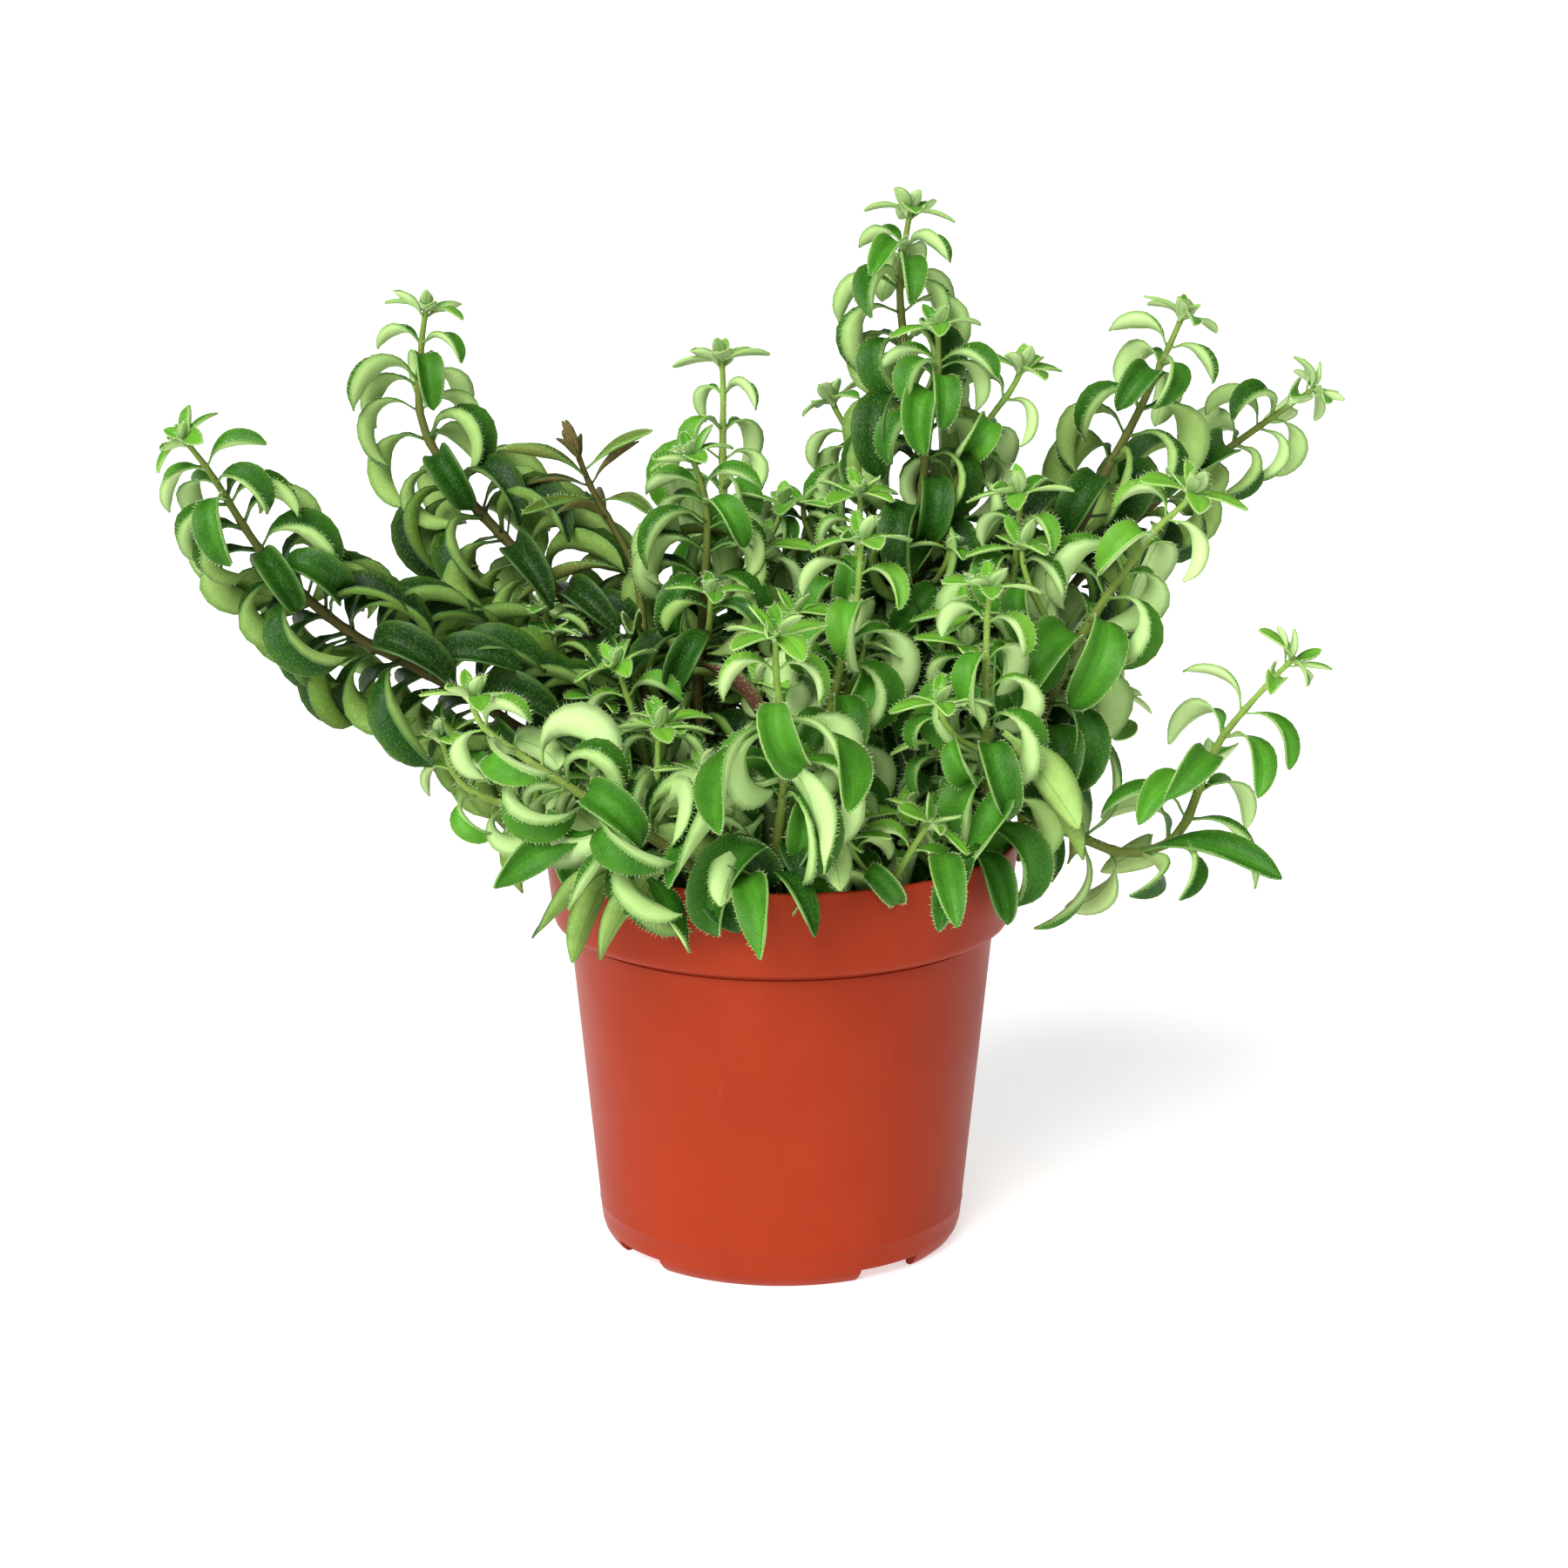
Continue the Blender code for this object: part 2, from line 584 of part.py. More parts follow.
def shoots(obstacles):
    """Every cutting as one solid, the stems first so that all leaves keep clear of them."""
    stems = []
    for name, kind, bare, roll, size, route in SHOOTS:
        stem = Stem(route)
        joints = joint_distances(stem, bare * MM)
        shape, lands = stem_shape(stem, joints)
        own = solid_from(shape)
        if any(own.meets(other) for other in obstacles):
            raise ValueError(f"{name} crosses a piece that is already placed")
        stems.append((name, kind, roll, size, stem, joints, shape, lands, own))
        obstacles.append(own)
    for number, (name, kind, roll, size, stem, joints, shape, lands, own) in enumerate(stems):
        chance = random.Random(number + 1)
        straight = BUD_CURL if kind == "bud" else 1.0
        others = [solid for solid in obstacles if solid is not own]
        before = len(others)
        leaves = placed_leaves(stem, joints, roll, size, straight, chance, others, own)
        obstacles += others[before:]
        for joint, leaf in leaves:
            free = [face for face in lands[joint] if face.is_valid]
            land = max(free, key=lambda face: land_side(face, leaf).dot(leaf[1]))
            lands[joint].remove(land)
            grow_leaf(shape, land, leaf)
        object_of(shape, name, shoot_finish(kind))


def land_side(face, leaf):
    """Vector from the leaf's place in the middle of its stem to a side face of the joint."""
    root, out, *_ = leaf
    return face.calc_center_median() - (root - out * STEM_RADIUS)


def lone_leaves(obstacles):
    """Single leaves whose stalks end just clear of the stems that bear them."""
    for name, root, out, up, size, turn in LONE_LEAVES:
        out = Vector(out).normalized()
        along = Vector(up)
        along = (along - out * along.dot(out)).normalized()
        leaf = (Vector(root) * MM, out, along, size, math.radians(turn), LONE_LEAF_RISE)
        sections, tip = leaf_sections(leaf)
        shape = bmesh.new()
        end = shape.faces.new([shape.verts.new(corner) for corner in sections[0]])
        for section in sections[1:]:
            end = extruded(shape, end, section)
        end = bmesh.ops.extrude_discrete_faces(shape, faces=[end])["faces"][0]
        bmesh.ops.pointmerge(shape, verts=end.verts[:], merge_co=tip)
        close_ends(shape)
        obstacles.append(blade_tree(leaf))
        kind = "old" if "red" in name or "dark" in name else "young"
        object_of(shape, name, shoot_finish(kind))


def main():
    clear_scene()
    obstacles = []
    for made in (pot(), soil()):
        shape = bmesh.new()
        shape.from_mesh(made.data)
        obstacles.append(solid_from(shape))
        shape.free()
    lone_leaves(obstacles)
    shoots(obstacles)


main()
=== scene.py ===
"""Looks of a curly-leaved lipstick plant in its plastic nursery pot.

Metres, +Z up, the pot's axis is the Z axis and the front of the plant faces -Y. The shoots
repeat the routes and the first leaves of the model's solids, then more leaves fill in
between them. Every blade is a thin curled sheet on its own stalk.
"""

import math
import random

import bmesh
import bpy
from mathutils import Matrix, Quaternion, Vector, noise
from mathutils.bvhtree import BVHTree


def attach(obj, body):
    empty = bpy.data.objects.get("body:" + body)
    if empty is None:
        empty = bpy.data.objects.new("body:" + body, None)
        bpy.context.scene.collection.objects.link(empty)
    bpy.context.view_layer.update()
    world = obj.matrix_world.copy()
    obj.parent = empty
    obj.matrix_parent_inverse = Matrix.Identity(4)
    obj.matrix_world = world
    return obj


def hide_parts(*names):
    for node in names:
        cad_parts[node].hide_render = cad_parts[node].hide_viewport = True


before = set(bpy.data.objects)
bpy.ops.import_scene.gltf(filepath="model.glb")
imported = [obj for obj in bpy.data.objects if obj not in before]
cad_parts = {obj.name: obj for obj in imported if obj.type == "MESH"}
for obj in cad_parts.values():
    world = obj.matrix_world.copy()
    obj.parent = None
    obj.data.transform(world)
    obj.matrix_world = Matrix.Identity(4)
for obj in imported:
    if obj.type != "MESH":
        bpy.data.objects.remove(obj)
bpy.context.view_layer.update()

MM = 0.001
GAP = 0.3 * MM
UP = Vector((0, 0, 1))

# Pot.
POT_HEIGHT = 92.3 * MM
RIM_TOP_RADIUS = 52.5 * MM
RIM_LOW_RADIUS = 50.7 * MM
RIM_BAND = 19.3 * MM
RIM_ROUND = 3.2 * MM
BODY_TOP_RADIUS = 47.1 * MM
BODY_LOW_RADIUS = 40.5 * MM
BODY_LOW_Z = 5.3 * MM
FOOT_RADIUS = 37.9 * MM
WALL = 1.1 * MM
FOOT_RING = 1.7 * MM
BASE_LIFT = 3.0 * MM
POT_SIDES = 144
BAND_GROOVE = 0.4 * MM
BAND_GROOVE_HEIGHT = 1.3 * MM
MOULD_LINE_Z = 8.3 * MM
MOULD_LINE = 0.12 * MM
MOULD_LINE_WIDTH = 0.2 * MM
FOOT_EDGE = 0.2 * MM
# Steps out from the foot ring and up, and steps in from the rim band and up.
FOOT_STEPS = ((0, 0.15 * MM), (1.0 * MM, 1.0 * MM), (1.9 * MM, 2.4 * MM), (2.4 * MM, 4.0 * MM))
BAND_STEPS = ((1.2 * MM, 0.1 * MM), (0.5 * MM, 0.7 * MM), (0.1 * MM, 1.8 * MM), (0, RIM_ROUND))
CREASE_ANGLE = math.radians(40)
NOTCHES = 4
NOTCH_WIDTH = 15.4 * MM
NOTCH_DEPTH = 12.0 * MM
NOTCH_FIRST = math.radians(-53)
DRAIN_HOLES = 8
DRAIN_RADIUS = 3.2 * MM
DRAIN_CIRCLE = 25.0 * MM
DRAIN_SIDES = 24

# Soil.
SOIL_TOP = 82.0 * MM
SOIL_SIDES = 96
SOIL_RINGS = 20
SOIL_BUMP = 1.1 * MM
SOIL_EDGE_DROP = 1.4 * MM
SOIL_SHOULDER = 2.2 * MM
SOIL_GRAIN = 260
SOIL_LEVEL = 0.35
# Fineness and share of each part of the soil's roughness.
SOIL_ROUGHNESS = ((1, 1.0), (3.1, 0.6), (8, 0.35))
CRUMBS = 620
CRUMB_SIZE = (0.5, 1.0)
CRUMB_SHAPE = ((0.7, 1.6), (0.6, 1.1), (0.4, 0.9))
CRUMB_ROUGHNESS = 0.3
CHIP_SHARE = 0.12
CHIP_SIZE = 2.0

# Stems.
STEM_RADIUS = 1.3 * MM
TIP_STEM_RADIUS = 0.7 * MM
STEM_TAPER_LENGTH = 45.0 * MM
SQUARE_SHARE = 0.85
NODE_BAND = 0.8 * MM
CURVE_STEPS = 12
BARE_STEP = 8.0 * MM
TIP_STAR = 4.5 * MM
STEM_SIDES = 8
STEM_RING_STEP = 3.5 * MM
STEM_SINK = 3.0 * MM
STEM_SLIM = 0.8
JOINT_SWELL = 0.25
JOINT_WIDTH = 1.3 * MM
LEAST_RING_STEP = 0.5 * MM
STEM_POINT = 1.2 * MM
STEM_POINT_RADIUS = 0.15 * MM
TWIG_SINK = 2.5 * MM
LEAF_SINK = 0.3 * MM

# Leaves.
LEAF_LENGTH = 28.0 * MM
LEAF_WIDTH = 8.0 * MM
LEAF_THICKNESS = 0.7 * MM
BLADE_THICKNESS = 0.45 * MM
PETIOLE_LENGTH = 2.6 * MM
PETIOLE_WIDTH = 1.3 * MM
LEAF_RISE = 38
RING_TURN = 215
ARC_TURN = 140
RING_REACH = 20.0 * MM
ARC_REACH = 75.0 * MM
ROOT_BEND = 0.45
PATH_STEPS = 12
PAIR_SPACING = 13.2 * MM
BUD_CURL = 0.3
ROLL_SPREAD = 9
RISE_SPREAD = 8
SIZE_RANGE = (0.9, 1.08)
TURN_RANGE = (0.88, 1.12)
LEAST_TURN = 30
LONE_LEAF_RISE = math.radians(15)
LONE_TWIST = math.radians(80)
CAD_SECTIONS = (0.25, 0.58)
CAD_WIDTHS = (0.85, 0.95)
YOUNG_PAIRS = (
    (1.2 * MM, 0.42, 55, 56),
    (7.0 * MM, 0.68, 145, 46),
    (15.0 * MM, 0.88, 190, 42),
)
RETRIES = (
    (0, 1.0, 0),
    (14, 1.0, 10),
    (-14, 1.0, -10),
    (28, 0.95, 20),
    (-28, 0.95, 20),
    (0, 0.85, 40),
    (20, 0.8, -40),
    (-20, 0.8, 60),
    (0, 0.68, 70),
)

# How a blade is drawn. The blade's rows lie at these shares of its length.
BLADE_ROWS = (0.0, 0.04, 0.1, 0.18, 0.27, 0.36, 0.45, 0.54, 0.63, 0.72, 0.8, 0.87, 0.93, 0.97, 1.0)
BLADE_COLUMNS = 4
BLADE_STEPS = 36
BASE_POWER = 0.68
STALK_SHARE = 0.21
TIP_POWER = 0.76
TIP_WIDTH = 0.04
# How a drawn blade differs from its solid: the share of its width, and the share of its size
# at the tip of the shoot and where it is full grown, with the distance over which it grows.
DRAWN_SIZE = {
    "young": (1.0, 0.86, 1.1, 22 * MM),
    "sparse": (1.05, 0.74, 0.88, 25 * MM),
    "old": (0.95, 0.78, 1.08, 34 * MM),
    "dense": (0.88, 0.68, 1.02, 30 * MM),
    "bud": (0.5, 0.8, 1.0, 30 * MM),
}
# Old and dense shoots have broader, less curled leaves at the tip.
TIP_BREADTH = 1.3
TIP_TURN = 0.68
SPARSE_TURN = 0.62
# The stretch below the tip that gets no leaves between the first pairs, how far down a sparse
# shoot gets them at all, and the old shoots that get crossed pairs too.
OPEN_TOP = {"young": 21 * MM, "sparse": 18 * MM, "old": 8 * MM, "dense": 0}
SPARSE_REACH = 62 * MM
CROWDED = ("shoot_tallest", "shoot_centre_tall", "shoot_back_fork")
# What is left of the front or back lean of a dense shoot's leaves, combed to the sides.
COMBED = 0.45
# The margins stand up beside the midrib, as in a gutter, by this share of half the width.
CHANNEL = {"young": 1.35, "sparse": 0.7, "old": 1.35, "dense": 1.35, "bud": 0.6}
CHANNEL_RANGE = (0.7, 1.2)
STAR_CHANNEL = 0.4
HANGING_CHANNEL = 0.75
CHANNEL_START = 0.46
CHANNEL_END = 0.15
SWAY = 0.2
TWIST = {"young": math.radians(50), "sparse": math.radians(60), "old": math.radians(30),
         "dense": math.radians(20), "bud": math.radians(30)}
FINE_SECTIONS = (0.14, 0.3, 0.5, 0.7, 0.88)
FIRM_SHARE = 0.55

# Every cutting: name, kind, stretch without leaves above the soil, roll of its first pair in
# degrees, leaf size, and its route from the soil to the tip in mm.
SHOOTS = (
    ("shoot_front_rosette", "young", 10, 40, 0.95,
     ((0, -36, 82), (-1, -47, 98), (1, -54, 122), (-1, -56, 140), (-1, -57, 153))),
    ("shoot_front_right", "young", 6, 10, 0.8,
     ((38, -19, 82), (41, -24, 95), (44, -30, 108), (43, -33, 125), (43, -34, 145),
      (44, -34, 159))),
    ("shoot_front_left", "young", 12, 20, 0.85,
     ((-13, -37, 82), (-19, -50, 98), (-42, -52, 114), (-54, -48, 121), (-63, -45, 128),
      (-64, -44, 137))),
    ("shoot_low_front", "young", 5, 60, 0.75,
     ((21, -38, 82), (25, -43, 95), (29, -46, 103), (34, -46, 110))),
    ("shoot_left_small", "young", 12, 15, 0.7,
     ((-34, -24, 82), (-43, -26, 96), (-57, -23, 103), (-69, -22, 109), (-74, -22, 124))),
    ("shoot_middle_left", "young", 8, 30, 0.75,
     ((-24, -22, 82), (-28, -18, 106), (-31, -18, 120), (-34, -18, 130), (-37, -18, 138))),
    ("shoot_middle_star", "young", 16, 25, 0.85,
     ((8, -16, 82), (9, -19, 112), (13, -22, 136), (16, -22, 148), (17, -22, 166))),
    ("shoot_right_low", "sparse", 30, 25, 0.9,
     ((36, -12, 82), (42, -13, 93), (50, -14, 97), (61, -14, 96), (75, -14, 91),
      (86, -14, 95), (92, -14, 110), (96, -14, 118), (106, -14, 130), (113, -14, 137))),
    ("shoot_right_star", "young", 18, 20, 0.95,
     ((36, -4, 82), (52, -9, 110), (64, -10, 137), (79, -10, 160), (86, -10, 167),
      (89, -10, 174))),
    ("shoot_middle_right", "young", 18, 0, 0.85,
     ((28, -8, 82), (42, -7, 115), (49, -8, 144), (51, -8, 163), (51, -8, 174))),
    ("shoot_left_long", "dense", 16, 35, 0.95,
     ((-34, -8, 82), (-48, -10, 110), (-63, -14, 123), (-79, -20, 134), (-92, -26, 143),
      (-107, -32, 159), (-118, -38, 179), (-125, -41, 189))),
    ("shoot_middle_rosette", "dense", 24, 10, 1.0,
     ((-14, -4, 82), (-18, -1, 122), (-17, -2, 142), (-16, -3, 164), (-19, -5, 176),
      (-21, -6, 181))),
    ("shoot_bud_stem", "bud", 26, 40, 0.85,
     ((-25, -6, 82), (-29, -3, 114), (-30, -1, 135), (-32, 1, 151), (-41, 3, 168),
      (-46, 4, 181))),
    ("shoot_centre_star", "young", 24, 45, 0.8,
     ((6, -1, 82), (11, -2, 118), (15, 0, 142), (17, 2, 161), (17, 2, 172))),
    ("shoot_centre_tall", "old", 24, 15, 0.9,
     ((16, 6, 82), (24, 4, 124), (29, 5, 153), (32, 6, 180), (34, 6, 195), (33, 6, 208))),
    ("shoot_right_fork", "young", 26, 20, 0.85,
     ((26, 7, 82), (27, 9, 125), (32, 10, 152), (43, 11, 178), (51, 12, 190),
      (53, 12, 198))),
    ("shoot_left_upper", "dense", 16, 0, 0.95,
     ((-26, 6, 82), (-35, 7, 123), (-46, 8, 141), (-60, 11, 155), (-71, 14, 167),
      (-79, 17, 181), (-79, 20, 197), (-77, 22, 210))),
    ("shoot_right_upper", "old", 26, 30, 0.9,
     ((36, 10, 82), (51, 14, 127), (63, 16, 151), (71, 18, 168), (78, 20, 181),
      (84, 21, 194), (90, 22, 208))),
    ("shoot_tallest", "old", 26, 5, 0.9,
     ((15, 19, 82), (29, 16, 135), (31, 17, 166), (28, 19, 190), (26, 21, 208),
      (27, 22, 219), (29, 24, 231))),
    ("shoot_back_fork", "old", 24, 40, 0.85,
     ((3, 26, 82), (16, 25, 121), (20, 25, 149), (18, 27, 170), (12, 29, 182),
      (10, 30, 188))),
    ("shoot_back_star", "young", 26, 0, 0.8,
     ((-12, 22, 82), (-11, 22, 138), (-13, 27, 164), (-13, 32, 187), (-14, 34, 197))),
    ("shoot_right_far", "old", 24, 15, 0.85,
     ((32, 24, 82), (50, 28, 118), (68, 32, 144), (87, 36, 162), (102, 40, 172),
      (114, 43, 180), (125, 46, 187))),
    ("shoot_back_left", "dense", 12, 30, 0.95,
     ((-30, 22, 82), (-37, 37, 110), (-42, 50, 125), (-50, 60, 129), (-60, 66, 126))),
    ("shoot_back_middle", "dense", 12, 10, 0.95,
     ((-4, 38, 82), (-6, 46, 112), (-8, 55, 132), (-7, 63, 145), (-5, 68, 155))),
    ("shoot_back_right", "dense", 12, 35, 0.95,
     ((20, 36, 82), (30, 46, 106), (42, 56, 125), (53, 62, 132), (62, 68, 133))),
    ("shoot_back_low", "young", 10, 20, 0.85,
     ((8, 39, 82), (11, 47, 95), (15, 56, 100), (22, 62, 103), (28, 66, 109), (32, 68, 118))),
    ("shoot_back_low_left", "young", 10, 20, 0.85,
     ((-14, 35, 82), (-17, 44, 95), (-22, 52, 99), (-30, 59, 99), (-38, 64, 94), (-45, 67, 88))),
    ("shoot_back_side", "young", 12, 5, 0.85,
     ((38, 12, 82), (46, 18, 95), (56, 26, 101), (64, 38, 103), (74, 47, 109), (78, 50, 118))),
)

# Side twigs in the heart of the plant: where they begin as a share of the stem, how far
# apart, how long, and how far from the pot's axis they may reach.
TWIG_REACH = 0.3
TWIG_FOOT = 8 * MM
TWIG_STEP = (9 * MM, 16 * MM)
TWIG_LENGTH = (16 * MM, 30 * MM)
TWIG_TRIES = 6
BUSH_RADIUS = 54 * MM
# Share of a twig's length and how steeply it leans upwards there.
TWIG_CURVE = ((0.35, 0.5), (0.7, 0.9), (1.0, 1.5))
TWIG_LEAST_HEIGHT = 4 * MM
# Pairs on a twig: the first and the step in mm, and the turn in degrees for each mm.
TWIG_PAIRS = (3, 6)
TWIG_PAIR_TURN = 18
TWIG_LEAF_SIZE = 1.05
# Added leaves near a tip: their share of the full size at the tip, the distance over which
# they gain as much again, and their least and added turn in degrees within RING_REACH.
SMALL_SHARE = 0.5
SMALL_REACH = 30 * MM
SMALL_TURNS = (60, 150)

# Single leaves: name, root, outward direction, direction that the root side faces, size,
# turn in degrees, age.
LONE_LEAVES = (
    ("leaf_over_rim", (-9, -52.5, 96), (0.25, -1.0, 0.15), (0, 0.1, 1), 0.95, 95, 0.35),
    ("leaf_dark_over_rim", (-2, -51.5, 97), (0.55, -1.0, 0.0), (0, 0.1, 1), 0.75, 80, 0.8),
    ("leaf_rim_right", (33, -47, 98.5), (0.05, -1.0, 0.3), (0, 0.1, 1), 0.85, 110, 0.3),
    ("leaf_rim_left", (-33, -47, 100), (-0.35, -1.0, 0.2), (0, 0.1, 1), 0.85, 80, 0.35),
    ("leaf_large_right", (78, -19, 93), (1.0, -0.25, 0.1), (0, 0, 1), 1.05, 55, 0.55),
    ("leaf_old_red", (-22, -14, 132), (0.9, -0.4, 0.1), (0, 0, 1), 0.85, 90, 1.0),
)

LONE_SLOTS = {"leaf_old_red": "foliage_red", "leaf_dark_over_rim": "foliage_old"}

# Leaves placed one by one on four cuttings: cutting, root, outward direction, direction
# that the root side faces, size, turn in degrees, share of the width, age.
HANGING_LEAVES = (
    ("shoot_front_left", (-33, -52, 100), (-0.75, -0.4, -0.5), (-0.1, 0.85, 0.35), 0.85, 35, 1.2, 0.85),
    ("shoot_front_left", (-39, -50, 105), (-0.9, -0.25, -0.3), (0, -0.6, 0.8), 0.78, 30, 1.15, 0.4),
    ("shoot_front_left", (-34, -52, 99), (-0.5, -0.35, -0.8), (-0.5, 0.8, 0.2), 0.75, 30, 1.1, 0.95),
    ("shoot_front_left", (-24, -53, 98), (-0.7, -0.4, -0.55), (-0.2, 0.8, 0.4), 0.8, 45, 1.2, 0.85),
    ("shoot_front_left", (-28, -54, 97), (0.55, -0.3, -0.7), (0.3, -0.8, 0.4), 0.62, 30, 1.4, 0.45),
    ("shoot_front_left", (-18, -52, 97), (0.45, -0.35, -0.75), (0.2, -0.8, 0.5), 0.52, 30, 1.4, 0.8),
    ("shoot_front_left", (-29, -47, 108), (0.95, -0.1, 0.2), (0, 0.85, 0.5), 0.8, 45, 1.4, 0.6),
    ("shoot_front_left", (-31, -46, 104), (0.9, -0.2, -0.2), (0, 0.85, 0.5), 0.75, 35, 1.3, 0.8),
    ("shoot_front_rosette", (0, -45, 103), (0.2, -0.75, -0.1), (0, 0.1, 1), 0.55, 85, 1.2, 0.9),
    ("shoot_front_rosette", (-4, -48, 108), (-0.4, -0.5, -0.6), (-0.5, 0.7, 0.3), 0.85, 50, 1.0, 0.4),
    ("shoot_front_rosette", (3, -48, 112), (0.45, -0.5, -0.6), (0.5, 0.7, 0.3), 0.85, 50, 1.0, 0.4),
    ("shoot_front_rosette", (-1, -56, 130), (-0.55, -0.45, -0.3), (-0.3, 0.6, 0.7), 1.15, 75, 0.9, 0.35),
    ("shoot_front_rosette", (1, -56, 131), (0.6, -0.45, -0.2), (0.4, 0.6, 0.7), 1.15, 80, 0.9, 0.3),
    ("shoot_front_rosette", (0, -57, 123), (0.5, -0.3, -0.6), (0.2, 0.9, 0.3), 1.0, 70, 1.0, 0.35),
    ("shoot_front_rosette", (-1, -53, 117), (-0.7, -0.3, -0.3), (-0.2, 0.8, 0.5), 1.15, 60, 0.9, 0.5),
    ("shoot_bud_stem", (-42.5, 2, 171.5), (-0.85, -0.15, 0.5), (0.3, -0.3, 0.9), 0.68, 45, 0.7, 0.4),
    ("shoot_bud_stem", (-42, 3, 173), (0.8, -0.1, 0.45), (-0.4, -0.2, 0.9), 0.55, 25, 0.6, 0.3),
    ("shoot_bud_stem", (-41, 2, 166.5), (-0.9, -0.3, -0.2), (-0.2, -0.3, 1), 0.55, 15, 0.6, 0.5),
    ("shoot_bud_stem", (-38.5, 2, 166), (0.8, -0.4, 0.1), (0, -0.2, 1), 0.45, 60, 0.7, 0.6),
    ("shoot_front_right", (41, -45, 101), (-0.5, -0.6, -0.6), (-0.3, -0.6, 0.7), 0.75, 30, 1.1, 0.55),
    ("shoot_front_right", (49, -38, 115), (-0.35, -0.35, -0.85), (-0.4, -0.85, 0.2), 0.85, 25, 1.3, 0.4),
    ("shoot_front_right", (47, -36, 123), (0.65, -0.25, -0.7), (0.4, 0.8, 0.3), 0.85, 35, 1.3, 0.7),
    ("shoot_front_right", (53, -34, 117), (0.45, -0.15, -0.85), (0.5, 0.8, 0.1), 0.8, 30, 1.2, 0.9),
)

# Age of the leaves at the tip, age further down, and the distance over which they ripen.
# Age 0 is a leaf that has just opened and 1 is the oldest, darkest leaf.
RIPENING = {
    "young": (0.08, 0.66, 65 * MM),
    "sparse": (0.1, 0.5, 60 * MM),
    "old": (0.22, 0.95, 48 * MM),
    "dense": (0.24, 0.9, 42 * MM),
    "bud": (1.0, 0.6, 30 * MM),
}
HAIR_LENGTH = 1.3 * MM
HAIR_RADIUS = 0.075 * MM
HAIR_STEP = 0.03
HAIR_AGE = 0.7
# Spread of a margin hair: along the leaf, up from it, and in length.
HAIR_LEAN = (-0.2, 0.8)
HAIR_LIFT = (-0.5, 0.3)
HAIR_SPREAD = (0.4, 1.15)
STEM_HAIR_STEP = 0.45 * MM
STEM_HAIR_REACH = 70 * MM
STEM_HAIR_LEAN = (-0.3, 0.5)
STEM_HAIR_SPREAD = (0.7, 1.3)
AGE_SPREAD = 0.07
TWIG_AGE = 25 * MM
# Whorls at the tip of a shoot: leaves in the whorl, size, rise and turn in degrees.
TIP_WHORLS = {
    "young": ((4, 0.45, 20, 38), (2, 0.28, 60, 20)),
    "sparse": ((4, 0.4, 25, 40), (2, 0.26, 60, 20)),
    "old": ((4, 0.38, 28, 55), (2, 0.24, 60, 25)),
    "dense": ((4, 0.32, 32, 60), (2, 0.2, 62, 30)),
    "bud": ((4, 0.24, 86, 2), (3, 0.3, 88, 0)),
}
STAR_WIDTH = 1.55
BUD_WIDTH = 0.85
STAR_ROLL_SPREAD = 12
STAR_TURN_SPREAD = 12
STAR_RISE_SPREAD = 6
STAR_YOUTH = 0.05


# ---------------------------------------------------------------- growth


def curve_through(points):
    """Dense points on a Catmull-Rom curve through the given ones."""
    ends = [2 * points[0] - points[1], *points, 2 * points[-1] - points[-2]]
    made = []
    for p0, p1, p2, p3 in zip(ends, ends[1:], ends[2:], ends[3:]):
        for step in range(CURVE_STEPS):
            t = step / CURVE_STEPS
            made.append(0.5 * (2 * p1 + (p2 - p0) * t
                               + (2 * p0 - 5 * p1 + 4 * p2 - p3) * t ** 2
                               + (3 * p1 - p0 - 3 * p2 + p3) * t ** 3))
    made.append(points[-1])
    return made


class Stem:
    """A smooth route that gives a place and a frame at any distance from its tip."""

    def __init__(self, route, rooted=True):
        start = [Vector(point) * MM for point in route]
        if rooted:
            start[0].z = SOIL_TOP + GAP
        self.points = list(reversed(curve_through(start)))
        while (self.points[0] - start[-1]).length < TIP_STAR:
            self.points.pop(0)
        self.reach = [0.0]
        for near, far in zip(self.points, self.points[1:]):
            self.reach.append(self.reach[-1] + (far - near).length)
        self.length = self.reach[-1]
        self.sides = [(self.points[1] - self.points[0]).orthogonal().normalized()]
        for index in range(1, len(self.points)):
            along = self.along_at(index)
            side = self.sides[-1] - along * self.sides[-1].dot(along)
            self.sides.append(side.normalized())

    def along_at(self, index):
        """Unit vector towards the tip at a stored point."""
        near = max(index - 1, 0)
        far = min(index + 1, len(self.points) - 1)
        return (self.points[near] - self.points[far]).normalized()

    def frame(self, distance):
        """Place, direction to the tip and a side vector at a distance from the tip."""
        distance = min(max(distance, 0), self.length)
        index = 0
        while index < len(self.points) - 2 and self.reach[index + 1] < distance:
            index += 1
        span = self.reach[index + 1] - self.reach[index]
        share = (distance - self.reach[index]) / span
        place = self.points[index].lerp(self.points[index + 1], share)
        along = self.along_at(index).lerp(self.along_at(index + 1), share).normalized()
        side = self.sides[index].lerp(self.sides[index + 1], share)
        side = (side - along * side.dot(along)).normalized()
        return place, along, side

    def radius(self, distance):
        share = min(distance / STEM_TAPER_LENGTH, 1)
        return TIP_STEM_RADIUS + (STEM_RADIUS - TIP_STEM_RADIUS) * share


